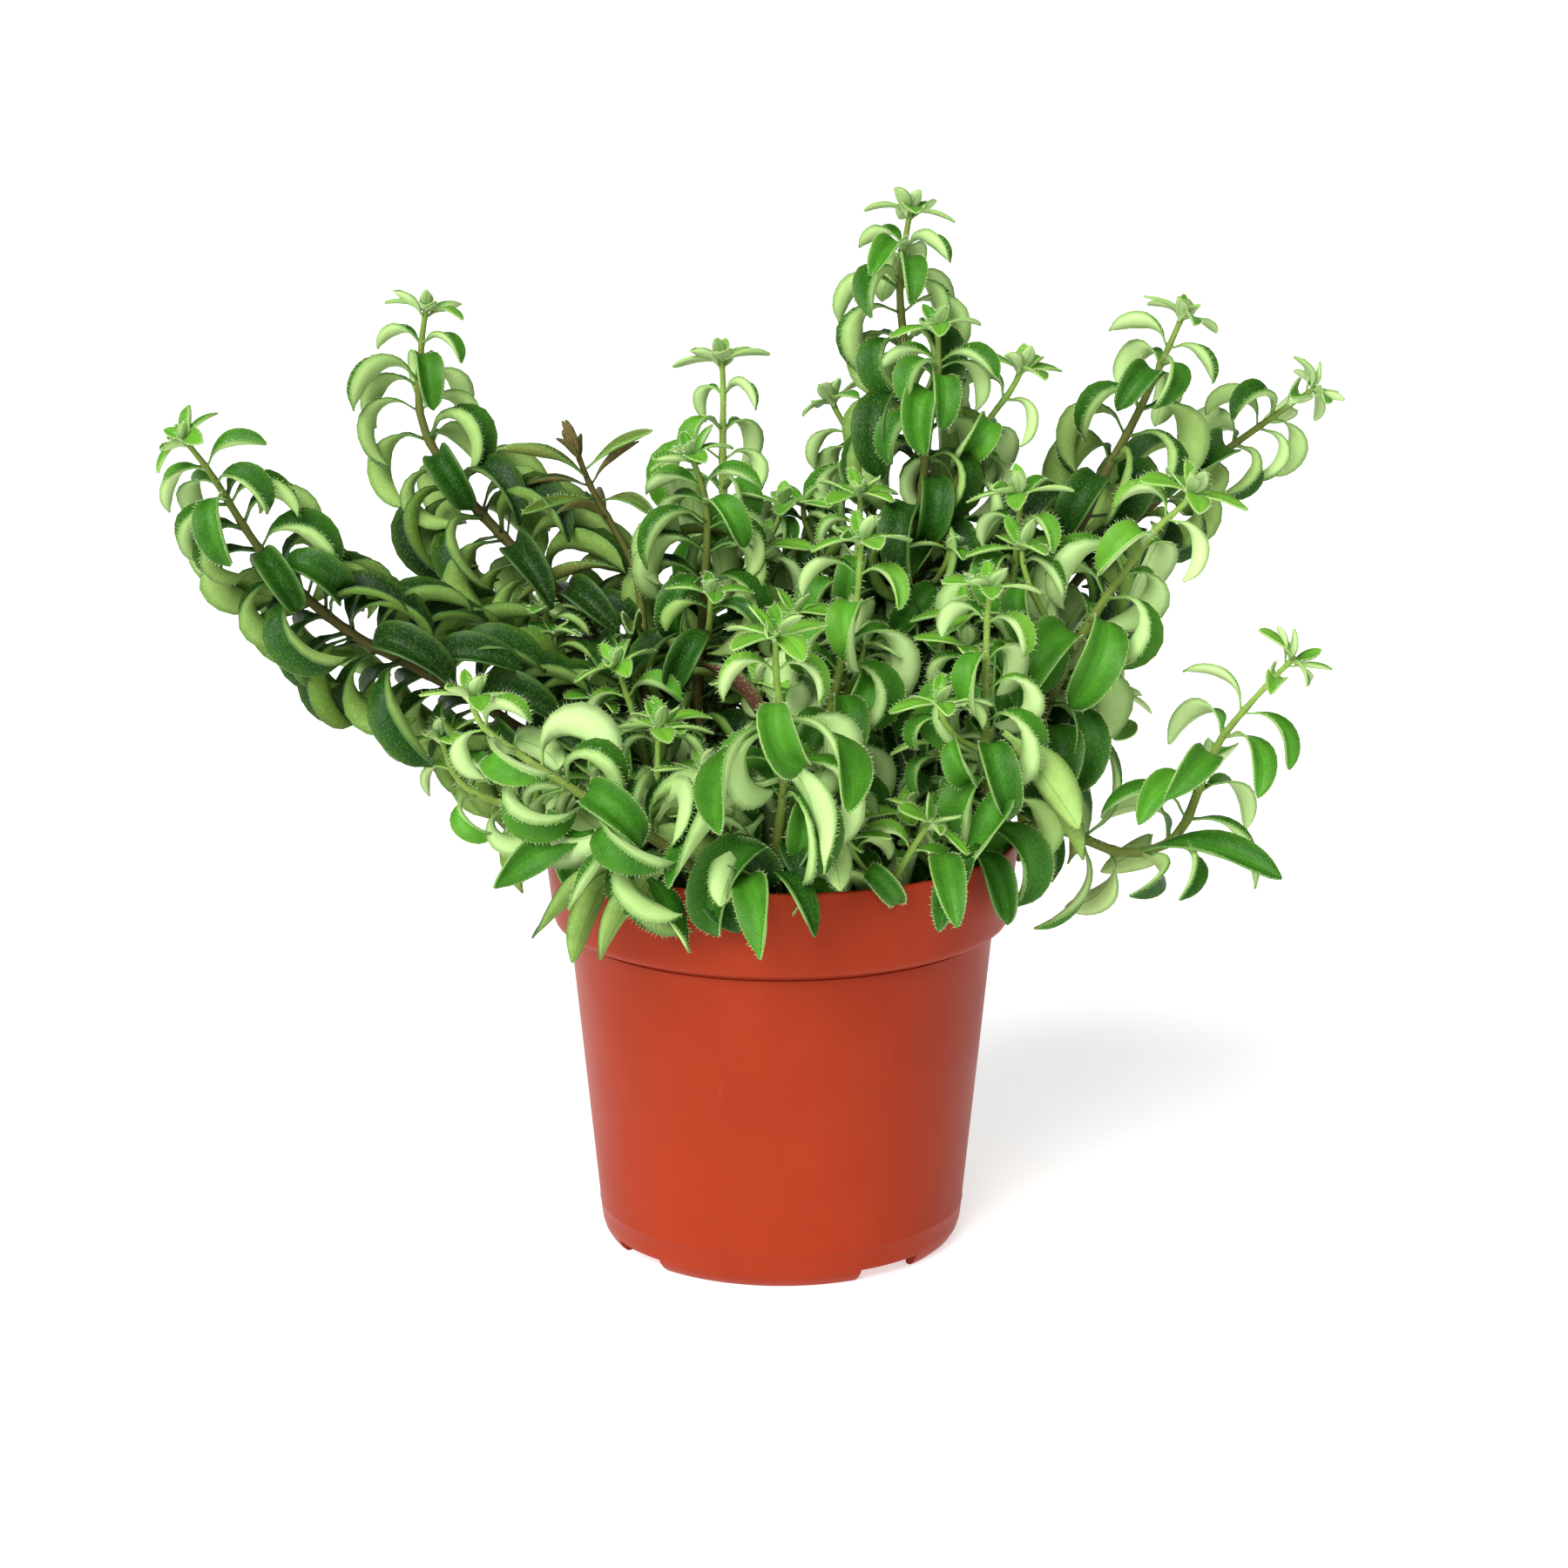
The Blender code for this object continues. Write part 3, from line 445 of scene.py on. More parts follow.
def leaf_path(leaf, steps=PATH_STEPS):
    """Middles and headings of a blade at equal steps: it rises from its stalk, then curls
    over and back to the stem, most of all near its root."""
    root, out, along, size, turn, rise = leaf

    def towards(angle):
        return out * math.cos(angle) + along * math.sin(angle)

    middle = root + towards(rise) * (PETIOLE_LENGTH * size)
    step = LEAF_LENGTH * size / steps
    path = [(middle, towards(rise), towards(rise + math.pi / 2))]
    for index in range(steps):
        share = (index + 0.5) / steps
        angle = rise - turn * share * (1 + ROOT_BEND - ROOT_BEND * share)
        middle = middle + towards(angle) * step
        path.append((middle, towards(angle), towards(angle + math.pi / 2)))
    return path


class Solid:
    """A collision tree with its box."""

    def __init__(self, corners, faces):
        self.tree = BVHTree.FromPolygons(corners, faces)
        self.low = [min(corner[axis] for corner in corners) for axis in range(3)]
        self.high = [max(corner[axis] for corner in corners) for axis in range(3)]

    def meets(self, other):
        for axis in range(3):
            if self.low[axis] > other.high[axis] or other.low[axis] > self.high[axis]:
                return False
        return bool(self.tree.overlap(other.tree))


def prism(rings, tip):
    """A closed four-sided shell through rings of four corners, with a tip or an end face."""
    corners = [corner for ring in rings for corner in ring]
    faces = [(0, 1, 2, 3)]
    for ring in range(len(rings) - 1):
        for side in range(4):
            a = 4 * ring + side
            b = 4 * ring + (side + 1) % 4
            faces.append((a, b, b + 4, a + 4))
    last = 4 * (len(rings) - 1)
    if tip is None:
        faces.append((last, last + 1, last + 2, last + 3))
    else:
        corners.append(tip)
        for side in range(4):
            faces.append((last + side, last + (side + 1) % 4, len(corners) - 1))
    return Solid(corners, faces)


def blade_tree(leaf, sections=CAD_SECTIONS, widths=CAD_WIDTHS, swell=GAP):
    """Collision tree of a leaf's blade with a little room around it."""
    _, out, along, size, _, _ = leaf
    across = along.cross(out)
    path = leaf_path(leaf)
    rings = []
    for share, width in ((0, PETIOLE_WIDTH / LEAF_WIDTH), *zip(sections, widths)):
        middle, _, up = path[round(share * PATH_STEPS)]
        half = across * (LEAF_WIDTH * size * width / 2 + swell)
        thick = up * (LEAF_THICKNESS / 2 + swell)
        rings.append((middle - half - thick, middle + half - thick,
                      middle + half + thick, middle - half + thick))
    return prism(rings, path[-1][0])


def fine_tree(leaf):
    """Collision tree of a blade without its soft margins, which may brush against others."""
    widths = [FIRM_SHARE * blade_width(share) for share in FINE_SECTIONS]
    return blade_tree(leaf, FINE_SECTIONS, widths, 0.0)


def square(place, side, other, radius):
    return [place + side * radius * a + other * radius * b
            for a, b in ((-1, -1), (1, -1), (1, 1), (-1, 1))]


def stem_tree(stem, joints, rooted=True):
    """Collision tree of a square-sided stem."""
    stops = []
    for distance in joints:
        stops += [distance - NODE_BAND, distance + NODE_BAND]
    stops = [max(distance, 0.0) for distance in stops]
    while stops[-1] + 1.5 * BARE_STEP < stem.length:
        stops.append(stops[-1] + BARE_STEP)
    stops.append(stem.length)
    rings = []
    for distance in stops:
        place, along, side = stem.frame(distance)
        radius = stem.radius(distance) * SQUARE_SHARE
        rings.append(square(place, side, along.cross(side), radius))
    if rooted:
        for corner in rings[-1]:
            corner.z = SOIL_TOP + GAP
    return prism(rings, None)


def joint_distances(stem, bare):
    """Distances from the tip of the places where leaf pairs grow."""
    joints = [pair[0] for pair in YOUNG_PAIRS if pair[0] < stem.length - bare]
    while joints[-1] + PAIR_SPACING < stem.length - bare:
        joints.append(joints[-1] + PAIR_SPACING)
    return joints


def full_grown_turn(distance):
    """Turn in degrees of a full-grown leaf, by the distance of its joint from the tip."""
    old = (distance - RING_REACH) / (ARC_REACH - RING_REACH)
    return RING_TURN + (ARC_TURN - RING_TURN) * min(max(old, 0), 1)


def leaf_with_room(stem, distance, angle, size, turn, rise, clear):
    """The first of the tries for a leaf that keeps clear of everything, or None."""
    place, along, side = stem.frame(distance)
    for more_roll, shrink, more_turn in RETRIES:
        out = Quaternion(along, math.radians(angle + more_roll)) @ side
        root = place + out * stem.radius(distance) * SQUARE_SHARE
        full_turn = math.radians(max(turn + more_turn, LEAST_TURN))
        leaf = (root, out, along, size * shrink, full_turn, rise)
        if clear(leaf):
            return leaf
    return None


def first_leaves(stem, joints, roll, size, straight, chance, obstacles, own):
    """The leaves in crossed pairs that the model's solid of this shoot has too."""
    leaves = []

    def clear(leaf):
        blade = blade_tree(leaf)
        if blade.meets(own) or any(blade.meets(other) for other in obstacles):
            return False
        obstacles.append(blade)
        return True

    for joint, distance in enumerate(joints):
        if joint < len(YOUNG_PAIRS):
            _, share, turn, rise = YOUNG_PAIRS[joint]
        else:
            share, turn, rise = 1.0, full_grown_turn(distance), LEAF_RISE
        for half in range(2):
            angle = roll + 90 * (joint % 2) + 180 * half
            angle += chance.uniform(-ROLL_SPREAD, ROLL_SPREAD)
            leaf_size = size * share * chance.uniform(*SIZE_RANGE)
            leaf_turn = turn * straight * chance.uniform(*TURN_RANGE)
            leaf_rise = math.radians(rise + chance.uniform(-RISE_SPREAD, RISE_SPREAD))
            leaf = leaf_with_room(stem, distance, angle, leaf_size, leaf_turn, leaf_rise, clear)
            if leaf:
                leaves.append((distance, leaf))
    return leaves


class Space:
    """Everything that leaves keep clear of, sorted into cells."""

    CELL = 20 * MM

    def __init__(self):
        self.cells = {}

    def cells_of(self, solid):
        spans = [range(math.floor(low / self.CELL), math.floor(high / self.CELL) + 1)
                 for low, high in zip(solid.low, solid.high)]
        return [(x, y, z) for x in spans[0] for y in spans[1] for z in spans[2]]

    def add(self, solid):
        for cell in self.cells_of(solid):
            self.cells.setdefault(cell, []).append(solid)

    def free(self, solid):
        seen = set()
        for cell in self.cells_of(solid):
            for other in self.cells.get(cell, ()):
                if id(other) not in seen:
                    seen.add(id(other))
                    if solid.meets(other):
                        return False
        return True


def more_leaves(stem, places, size, straight, chance, space):
    """Pairs of leaves at (distance, angle) places, wherever there is room."""
    leaves = []

    def clear(leaf):
        blade = fine_tree(leaf)
        if not space.free(blade):
            return False
        space.add(blade)
        return True

    for distance, pair_angle in places:
        share = min(SMALL_SHARE + distance / SMALL_REACH, 1.0)
        turn = SMALL_TURNS[0] + SMALL_TURNS[1] * share
        if distance > RING_REACH:
            turn = full_grown_turn(distance)
        for half in range(2):
            angle = pair_angle + 180 * half + chance.uniform(-ROLL_SPREAD, ROLL_SPREAD)
            leaf_size = size * share * chance.uniform(*SIZE_RANGE)
            leaf_turn = turn * straight * chance.uniform(*TURN_RANGE)
            leaf_rise = math.radians(LEAF_RISE + chance.uniform(-RISE_SPREAD, RISE_SPREAD))
            leaf = leaf_with_room(stem, distance, angle, leaf_size, leaf_turn, leaf_rise, clear)
            if leaf:
                leaves.append((distance, leaf))
    return leaves


def solid_of(nodes):
    """Collision trees of carried-over solids."""
    made = []
    for name in nodes:
        shape = bmesh.new()
        shape.from_mesh(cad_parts[name].data)
        bmesh.ops.remove_doubles(shape, verts=shape.verts, dist=0.001 * MM)
        shape.verts.index_update()
        corners = [vertex.co.copy() for vertex in shape.verts]
        faces = [[vertex.index for vertex in face.verts] for face in shape.faces]
        made.append(Solid(corners, faces))
        shape.free()
    return made


def lone_leaf(root, out, up, size, turn):
    out = Vector(out).normalized()
    along = Vector(up)
    along = (along - out * along.dot(out)).normalized()
    return (Vector(root) * MM, out, along, size, math.radians(turn), LONE_LEAF_RISE)


class Shoot:
    """One cutting with everything that grows on it."""

    def __init__(self, name, kind, bare, roll, size, route):
        self.name = name
        self.kind = kind
        self.bare = bare * MM
        self.roll = roll
        self.size = size
        self.stem = Stem(route)
        self.joints = joint_distances(self.stem, self.bare)
        self.tree = stem_tree(self.stem, self.joints)
        self.straight = BUD_CURL if kind == "bud" else 1.0
        self.leaves = []
        self.twigs = []

    def age(self, distance):
        young, old, reach = RIPENING[self.kind]
        return young + (old - young) * min(distance / reach, 1)

    def places_between(self):
        """Where more pairs may grow: between the first ones, below them, and across them."""
        middles = [(near + far) / 2 for near, far in zip(self.joints[1:], self.joints[2:])]
        low = self.joints[-1] + PAIR_SPACING / 2
        while low < self.stem.length - 4 * MM:
            middles.append(low)
            low += PAIR_SPACING / 2
        places = [(distance, self.roll + 45 + 90 * (index % 2))
                  for index, distance in enumerate(middles) if distance > OPEN_TOP[self.kind]]
        if self.kind == "sparse":
            places = [(distance, angle) for distance, angle in places if distance < SPARSE_REACH]
        if self.name in CROWDED:
            places += [(distance + JOINT_WIDTH, self.roll + 90 + 90 * (index % 2))
                       for index, distance in enumerate(self.joints) if 0 < index < 5]
        if self.kind == "dense":
            places += [(distance + JOINT_WIDTH, self.roll + 90 + 90 * (index % 2))
                       for index, distance in enumerate(self.joints) if index > 1]
            places += [(distance + JOINT_WIDTH, self.roll + 135 + 90 * (index % 2))
                       for index, distance in enumerate(middles) if index]
        return places

    def drawn(self, leaf, distance):
        """A leaf at the size that it is drawn, and the share of its width."""
        slim, least, most, reach = DRAWN_SIZE[self.kind]
        root, out, along, size, turn, rise = leaf
        grown = min(distance / reach, 1)
        if self.kind == "dense":
            out = Vector((out.x, out.y * COMBED, out.z))
            out = (out - along * out.dot(along)).normalized()
        if self.kind in ("old", "dense"):
            slim *= TIP_BREADTH + (1 - TIP_BREADTH) * grown
            turn *= TIP_TURN + (1 - TIP_TURN) * grown
        if self.kind == "sparse":
            turn *= SPARSE_TURN
        return (root, out, along, size * (least + (most - least) * grown), turn, rise), slim

    def grow_twigs(self, number, space):
        """Short side twigs on the lower half of the stem, each with its own leaves."""
        chance = random.Random(300 + number)
        distance = self.stem.length * TWIG_REACH
        while distance < self.stem.length - TWIG_FOOT:
            distance += chance.uniform(*TWIG_STEP)
            place, along, side = self.stem.frame(distance)
            for _ in range(TWIG_TRIES):
                out = Quaternion(along, chance.uniform(0, 2 * math.pi)) @ side
                long = chance.uniform(*TWIG_LENGTH)
                route = [place + out * (2 * STEM_RADIUS)]
                for share, lean in TWIG_CURVE:
                    route.append(place + (out + UP * lean).normalized() * long * share + out * MM)
                twig = Stem([point / MM for point in route], rooted=False)
                too_far = math.hypot(route[-1].x, route[-1].y) > BUSH_RADIUS
                if too_far or route[1].z < SOIL_TOP + TWIG_LEAST_HEIGHT:
                    continue
                joints = [pair[0] for pair in YOUNG_PAIRS if pair[0] < twig.length - 2 * MM]
                tree = stem_tree(twig, joints, rooted=False)
                if space.free(tree):
                    space.add(tree)
                    roll = chance.uniform(0, 90)
                    first, step = TWIG_PAIRS
                    places = [(stop * MM, roll + TWIG_PAIR_TURN * stop)
                              for stop in range(first, round(twig.length / MM) - 2, step)]
                    leaves = more_leaves(twig, places, self.size * TWIG_LEAF_SIZE, self.straight,
                                         chance, space)
                    self.twigs.append((twig, leaves))
                    break


def grown_plant():
    """All shoots with their leaves, and the single leaves."""
    shoots = [Shoot(*row) for row in SHOOTS]
    lone = [(row[0], lone_leaf(*row[1:6]), row[6]) for row in LONE_LEAVES]
    holder = solid_of(("nursery_pot", "potting_soil"))
    obstacles = holder + [blade_tree(leaf) for _, leaf, _ in lone]
    obstacles += [shoot.tree for shoot in shoots]
    for number, shoot in enumerate(shoots):
        others = [solid for solid in obstacles if solid is not shoot.tree]
        before = len(others)
        shoot.leaves = first_leaves(
            shoot.stem, shoot.joints, shoot.roll, shoot.size, shoot.straight,
            random.Random(number + 1), others, shoot.tree)
        obstacles += others[before:]
    space = Space()
    for solid in holder + [shoot.tree for shoot in shoots]:
        space.add(solid)
    for _, leaf, _ in lone:
        space.add(fine_tree(leaf))
    for shoot in shoots:
        for _, leaf in shoot.leaves:
            space.add(fine_tree(leaf))
    for number, shoot in enumerate(shoots):
        if shoot.kind != "bud":
            shoot.leaves += more_leaves(
                shoot.stem, shoot.places_between(), shoot.size, shoot.straight,
                random.Random(100 + number), space)
    for number, shoot in enumerate(shoots):
        if shoot.kind != "bud":
            shoot.grow_twigs(number, space)
    return shoots, lone


# ---------------------------------------------------------------- drawing


def blade_width(share):
    """Share of the full width at a share of the blade's length: a lance with a pointed tip."""
    widest = BASE_POWER / (BASE_POWER + TIP_POWER)
    full = widest ** BASE_POWER * (1 - widest) ** TIP_POWER
    width = share ** BASE_POWER * (1 - share) ** TIP_POWER / full
    return max(width, STALK_SHARE if share < 0.5 else TIP_WIDTH)


def blade_place(path, share):
    """Middle, heading and upward direction at a share of the blade's length."""
    step = min(share * BLADE_STEPS, BLADE_STEPS - 1e-6)
    index = int(step)
    part = step - index
    return [near.lerp(far, part) for near, far in zip(path[index], path[index + 1])]


class Foliage:
    """A bmesh that collects blades, with their age and tint."""

    def __init__(self):
        self.shape = bmesh.new()
        self.shape.loops.layers.uv.new("UVMap")
        self.age = self.shape.verts.layers.float.new("age")
        self.tint = self.shape.verts.layers.float.new("tint")
        self.margins = []

    def blade(self, leaf, age, chance, slim, twist, channel):
        """One blade with its stalk: a grid laid along the leaf's path, with its margins
        raised beside the midrib. It keeps the margin's points for the hairs."""
        root, out, along, size, _, _ = leaf
        path = leaf_path(leaf, BLADE_STEPS)
        sway = chance.uniform(-SWAY, SWAY) * LEAF_LENGTH * size
        twist *= chance.uniform(-1, 1)
        tint = chance.uniform(-1, 1)
        channel *= chance.uniform(*CHANNEL_RANGE)
        rows = len(BLADE_ROWS)
        grid = bmesh.ops.create_grid(
            self.shape, x_segments=rows, y_segments=BLADE_COLUMNS, size=1, calc_uvs=True)
        margin = []
        for vertex in grid["verts"]:
            row = round((vertex.co.x + 1) / 2 * rows)
            lean = vertex.co.y
            if row == 0:
                middle, heading, up, share = root - out * LEAF_SINK, path[0][1], path[0][2], 0
            else:
                share = BLADE_ROWS[row - 1]
                middle, heading, up = blade_place(path, share)
            across = along.cross(out)
            spin = Quaternion(heading, twist * share)
            middle = middle + across * (sway * share ** 2)
            across = spin @ across
            up = spin @ up
            half = LEAF_WIDTH * size * blade_width(share) / 2
            fold = min(share / CHANNEL_START, 1, (1 - share) / CHANNEL_END)
            lift = channel * fold * half * (lean ** 2 - 0.5)
            vertex.co = middle + across * (half * slim * lean) + up * lift
            edge = (across * (slim * lean) + up * (2 * channel * fold)).normalized()
            vertex[self.age] = age
            vertex[self.tint] = tint
            if abs(lean) > 0.9 and row:
                margin.append((share, lean, vertex.co.copy(), edge, heading, up))
        self.margins.append((age, sorted(margin, key=lambda point: (point[1], point[0]))))

    def finish(self, name, finishes):
        made = piece_from(self.shape, name, finishes, closed=False)
        wall = made.modifiers.new("blade_thickness", "SOLIDIFY")
        wall.thickness = BLADE_THICKNESS
        wall.offset = -1
        wall.material_offset = 1
        wall.material_offset_rim = 2
        return made


def piece_from(shape, name, finishes, closed=True):
    """A finished object at the origin from a bmesh, which is freed."""
    if closed:
        bmesh.ops.recalc_face_normals(shape, faces=shape.faces)
    mesh = bpy.data.meshes.new(name)
    shape.to_mesh(mesh)
    shape.free()
    for finish in finishes:
        mesh.materials.append(finish)
    mesh.shade_smooth()
    made = bpy.data.objects.new(name, mesh)
    bpy.context.scene.collection.objects.link(made)
    return made


def ring_of(place, side, other, radius):
    """Corners of one ring of a stem."""
    return [place + side * radius * math.cos(2 * math.pi * k / STEM_SIDES)
            + other * radius * math.sin(2 * math.pi * k / STEM_SIDES) for k in range(STEM_SIDES)]


def tube(shape, rings, age_layer):
    """A closed tube through rings of (place, side, other, radius, age)."""
    start = bmesh.ops.create_circle(shape, cap_ends=True, segments=STEM_SIDES, radius=1)["verts"]
    end = start[0].link_faces[0]
    for number, (place, side, other, radius, age) in enumerate(rings):
        if number:
            end = bmesh.ops.extrude_discrete_faces(shape, faces=[end])["faces"][0]
        for vertex, corner in zip(end.verts, ring_of(place, side, other, radius)):
            vertex.co = corner
            vertex[age_layer] = age
    rims = [edge for edge in shape.edges if edge.is_boundary]
    bmesh.ops.holes_fill(shape, edges=rims, sides=STEM_SIDES)


class Fuzz:
    """Stiff hairs, collected in small tufts because a large bmesh grows slowly."""

    TUFT = 400

    def __init__(self):
        self.tuft = bmesh.new()
        self.shape = bmesh.new()

    def hair(self, root, direction, length):
        """One hair that stands on root."""
        turn = direction.to_track_quat("Z", "Y").to_matrix().to_4x4()
        middle = Matrix.Translation(root + direction * (length / 2 - 0.1 * MM))
        bmesh.ops.create_cone(
            self.tuft, cap_ends=True, segments=3, radius1=HAIR_RADIUS, radius2=0, depth=length,
            matrix=middle @ turn)
        if len(self.tuft.verts) > self.TUFT:
            self.gather()

    def gather(self):
        mesh = bpy.data.meshes.new("tuft")
        self.tuft.to_mesh(mesh)
        self.shape.from_mesh(mesh)
        bpy.data.meshes.remove(mesh)
        self.tuft.clear()

    def finish(self, name):
        """The hairs as one piece, or nothing if there are none."""
        self.gather()
        self.tuft.free()
        if self.shape.verts:
            return [piece_from(self.shape, name, [HAIR], closed=False)]
        self.shape.free()
        return []


def margin_hairs(fuzz, margins, chance):
    """Stiff hairs along both margins of the younger blades."""
    for age, margin in margins:
        if age > HAIR_AGE:
            continue
        for near, far in zip(margin, margin[1:]):
            if near[1] != far[1]:
                continue
            span = (far[2] - near[2]).length
            count = max(1, round(span / (LEAF_LENGTH * HAIR_STEP)))
            for step in range(count):
                part = (step + chance.uniform(0.2, 0.8)) / count
                root = near[2].lerp(far[2], part)
                outwards = near[3].lerp(far[3], part)
                heading = near[4].lerp(far[4], part)
                up = near[5].lerp(far[5], part)
                direction = outwards + heading * chance.uniform(*HAIR_LEAN)
                direction += up * chance.uniform(*HAIR_LIFT)
                length = HAIR_LENGTH * chance.uniform(*HAIR_SPREAD) * (1.1 - 0.6 * age)
                fuzz.hair(root, direction.normalized(), length)


def stem_hairs(fuzz, shoot, chance):
    """Short hairs that stand out all round the younger stretch of a stem."""
    reach = min(shoot.stem.length, STEM_HAIR_REACH)
    for _ in range(round(reach / STEM_HAIR_STEP)):
        distance = chance.uniform(0, reach)
        place, along, side = shoot.stem.frame(distance)
        out = Quaternion(along, chance.uniform(0, 2 * math.pi)) @ side
        root = place + out * shoot.stem.radius(distance) * 0.9
        direction = (out + along * chance.uniform(*STEM_HAIR_LEAN)).normalized()
        fuzz.hair(root, direction, HAIR_LENGTH * chance.uniform(*STEM_HAIR_SPREAD))


def stem_rings(shoot, stem, leaves, sink):
    """Rings of a round stem that swells where its leaves grow."""
    swells = sorted({round(distance, 5) for distance, _ in leaves})
    stops = {0.0, stem.length}
    for swell in swells:
        stops |= {swell - JOINT_WIDTH, swell, swell + JOINT_WIDTH}
    full = [0.0]
    for stop in sorted(stop for stop in stops if 0 <= stop <= stem.length):
        gap = stop - full[-1]
        if gap < LEAST_RING_STEP:
            continue
        parts = max(1, round(gap / STEM_RING_STEP))
        start = full[-1]
        full += [start + gap * part / parts for part in range(1, parts + 1)]
    tip, along, side = stem.frame(0)
    rings = [(tip + along * STEM_POINT, side, along.cross(side), STEM_POINT_RADIUS, 0)]
    for distance in full:
        place, along, side = stem.frame(distance)
        swell = sum(math.exp(-((distance - joint) / JOINT_WIDTH) ** 2) for joint in swells)
        radius = stem.radius(distance) * STEM_SLIM * (1 + JOINT_SWELL * min(swell, 1))
        rings.append((place, side, along.cross(side), radius, shoot.age(distance)))
    place, side, other, radius, age = rings[-1]
    rings.append((place + sink, side, other, radius, age))
    return rings


def draw_stem(shoot):
    """The stem, which goes on into the soil, and the twigs that leave it."""
    shape = bmesh.new()
    age_layer = shape.verts.layers.float.new("age")
    tube(shape, stem_rings(shoot, shoot.stem, shoot.leaves, UP * -STEM_SINK), age_layer)
    for twig, leaves in shoot.twigs:
        _, along, _ = twig.frame(twig.length)
        tube(shape, stem_rings(shoot, twig, leaves, along * -TWIG_SINK), age_layer)
    return piece_from(shape, shoot.name + "_stem", [STEM])


def leaf_age(shoot, distance, chance):
    return min(max(shoot.age(distance) + chance.uniform(-AGE_SPREAD, AGE_SPREAD), 0), 1)


def draw_shoot(shoot, number):
    """Stem, leaves and hairs of one cutting, which stand for its solid."""
    chance = random.Random(1000 + number)
    foliage = Foliage()
    twist = TWIST[shoot.kind]
    channel = CHANNEL[shoot.kind]
    for distance, leaf in shoot.leaves:
        leaf, slim = shoot.drawn(leaf, distance)
        foliage.blade(leaf, leaf_age(shoot, distance, chance), chance, slim, twist, channel)
    draw_tip(foliage, shoot.stem, shoot, chance)
    for owner, root, out, up, size, turn, slim, age in HANGING_LEAVES:
        if owner == shoot.name:
            leaf = lone_leaf(root, out, up, size, turn)
            foliage.blade(leaf, age, chance, slim, LONE_TWIST, HANGING_CHANNEL)
    for twig, leaves in shoot.twigs:
        for distance, leaf in leaves:
            leaf, slim = shoot.drawn(leaf, distance)
            age = leaf_age(shoot, distance + TWIG_AGE, chance)
            foliage.blade(leaf, age, chance, slim, TWIST["young"], channel)
        draw_tip(foliage, twig, shoot, chance)
    fresh = shoot.kind in ("young", "sparse")
    fuzz = Fuzz()
    margin_hairs(fuzz, foliage.margins, chance)
    if fresh:
        stem_hairs(fuzz, shoot, chance)
    finishes = OLIVE_LEAF if shoot.kind == "bud" else LEAF
    made = [draw_stem(shoot), foliage.finish(shoot.name + "_leaves", finishes)]
    made += fuzz.finish(shoot.name + "_hairs")
    for piece in made:
        hold(piece, shoot.name)


def draw_tip(foliage, stem, shoot, chance):
    """The smallest leaves: open whorls on most shoots, closed into a bud on one."""
    place, along, side = stem.frame(0)
    age = max(shoot.age(0) - STAR_YOUTH, 0)
    slim = BUD_WIDTH if shoot.kind == "bud" else STAR_WIDTH
    for number, size, rise, turn in TIP_WHORLS[shoot.kind]:
        for index in range(number):
            angle = shoot.roll + 45 + 360 * index / number
            angle += chance.uniform(-STAR_ROLL_SPREAD, STAR_ROLL_SPREAD)
            out = Quaternion(along, math.radians(angle)) @ side
            leaf_turn = math.radians(turn + chance.uniform(-STAR_TURN_SPREAD, STAR_TURN_SPREAD))
            leaf_rise = math.radians(rise + chance.uniform(-STAR_RISE_SPREAD, STAR_RISE_SPREAD))
            leaf = (place + out * LEAF_SINK, out, along, shoot.size * size, leaf_turn, leaf_rise)
            foliage.blade(leaf, age, chance, slim, TWIST["bud"], STAR_CHANNEL)


def hold(piece, node=None):
    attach(piece, "root")
    if node:
        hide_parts(node)


# ---------------------------------------------------------------- pot and soil


def turned(profile, sides):
    """A closed bmesh from a profile of (radius, height) whose two ends lie on the axis."""
    shape = bmesh.new()
    chain = [shape.verts.new((radius, 0, height)) for radius, height in profile]
    for low, high in zip(chain, chain[1:]):
        shape.edges.new((low, high))
    bmesh.ops.spin(
        shape, geom=shape.verts[:] + shape.edges[:], cent=(0, 0, 0), axis=(0, 0, 1),
        angle=2 * math.pi, steps=sides, use_merge=True)
    bmesh.ops.remove_doubles(shape, verts=shape.verts, dist=0.002 * MM)
    bmesh.ops.recalc_face_normals(shape, faces=shape.faces)
    return shape


def arc(centre, radius, start, end, steps=4):
    """Points of (radius, height) along an arc, angles in degrees from the outward direction."""
    made = []
    for step in range(steps + 1):
        angle = math.radians(start + (end - start) * step / steps)
        made.append((centre[0] + radius * math.cos(angle), centre[1] + radius * math.sin(angle)))
    return made


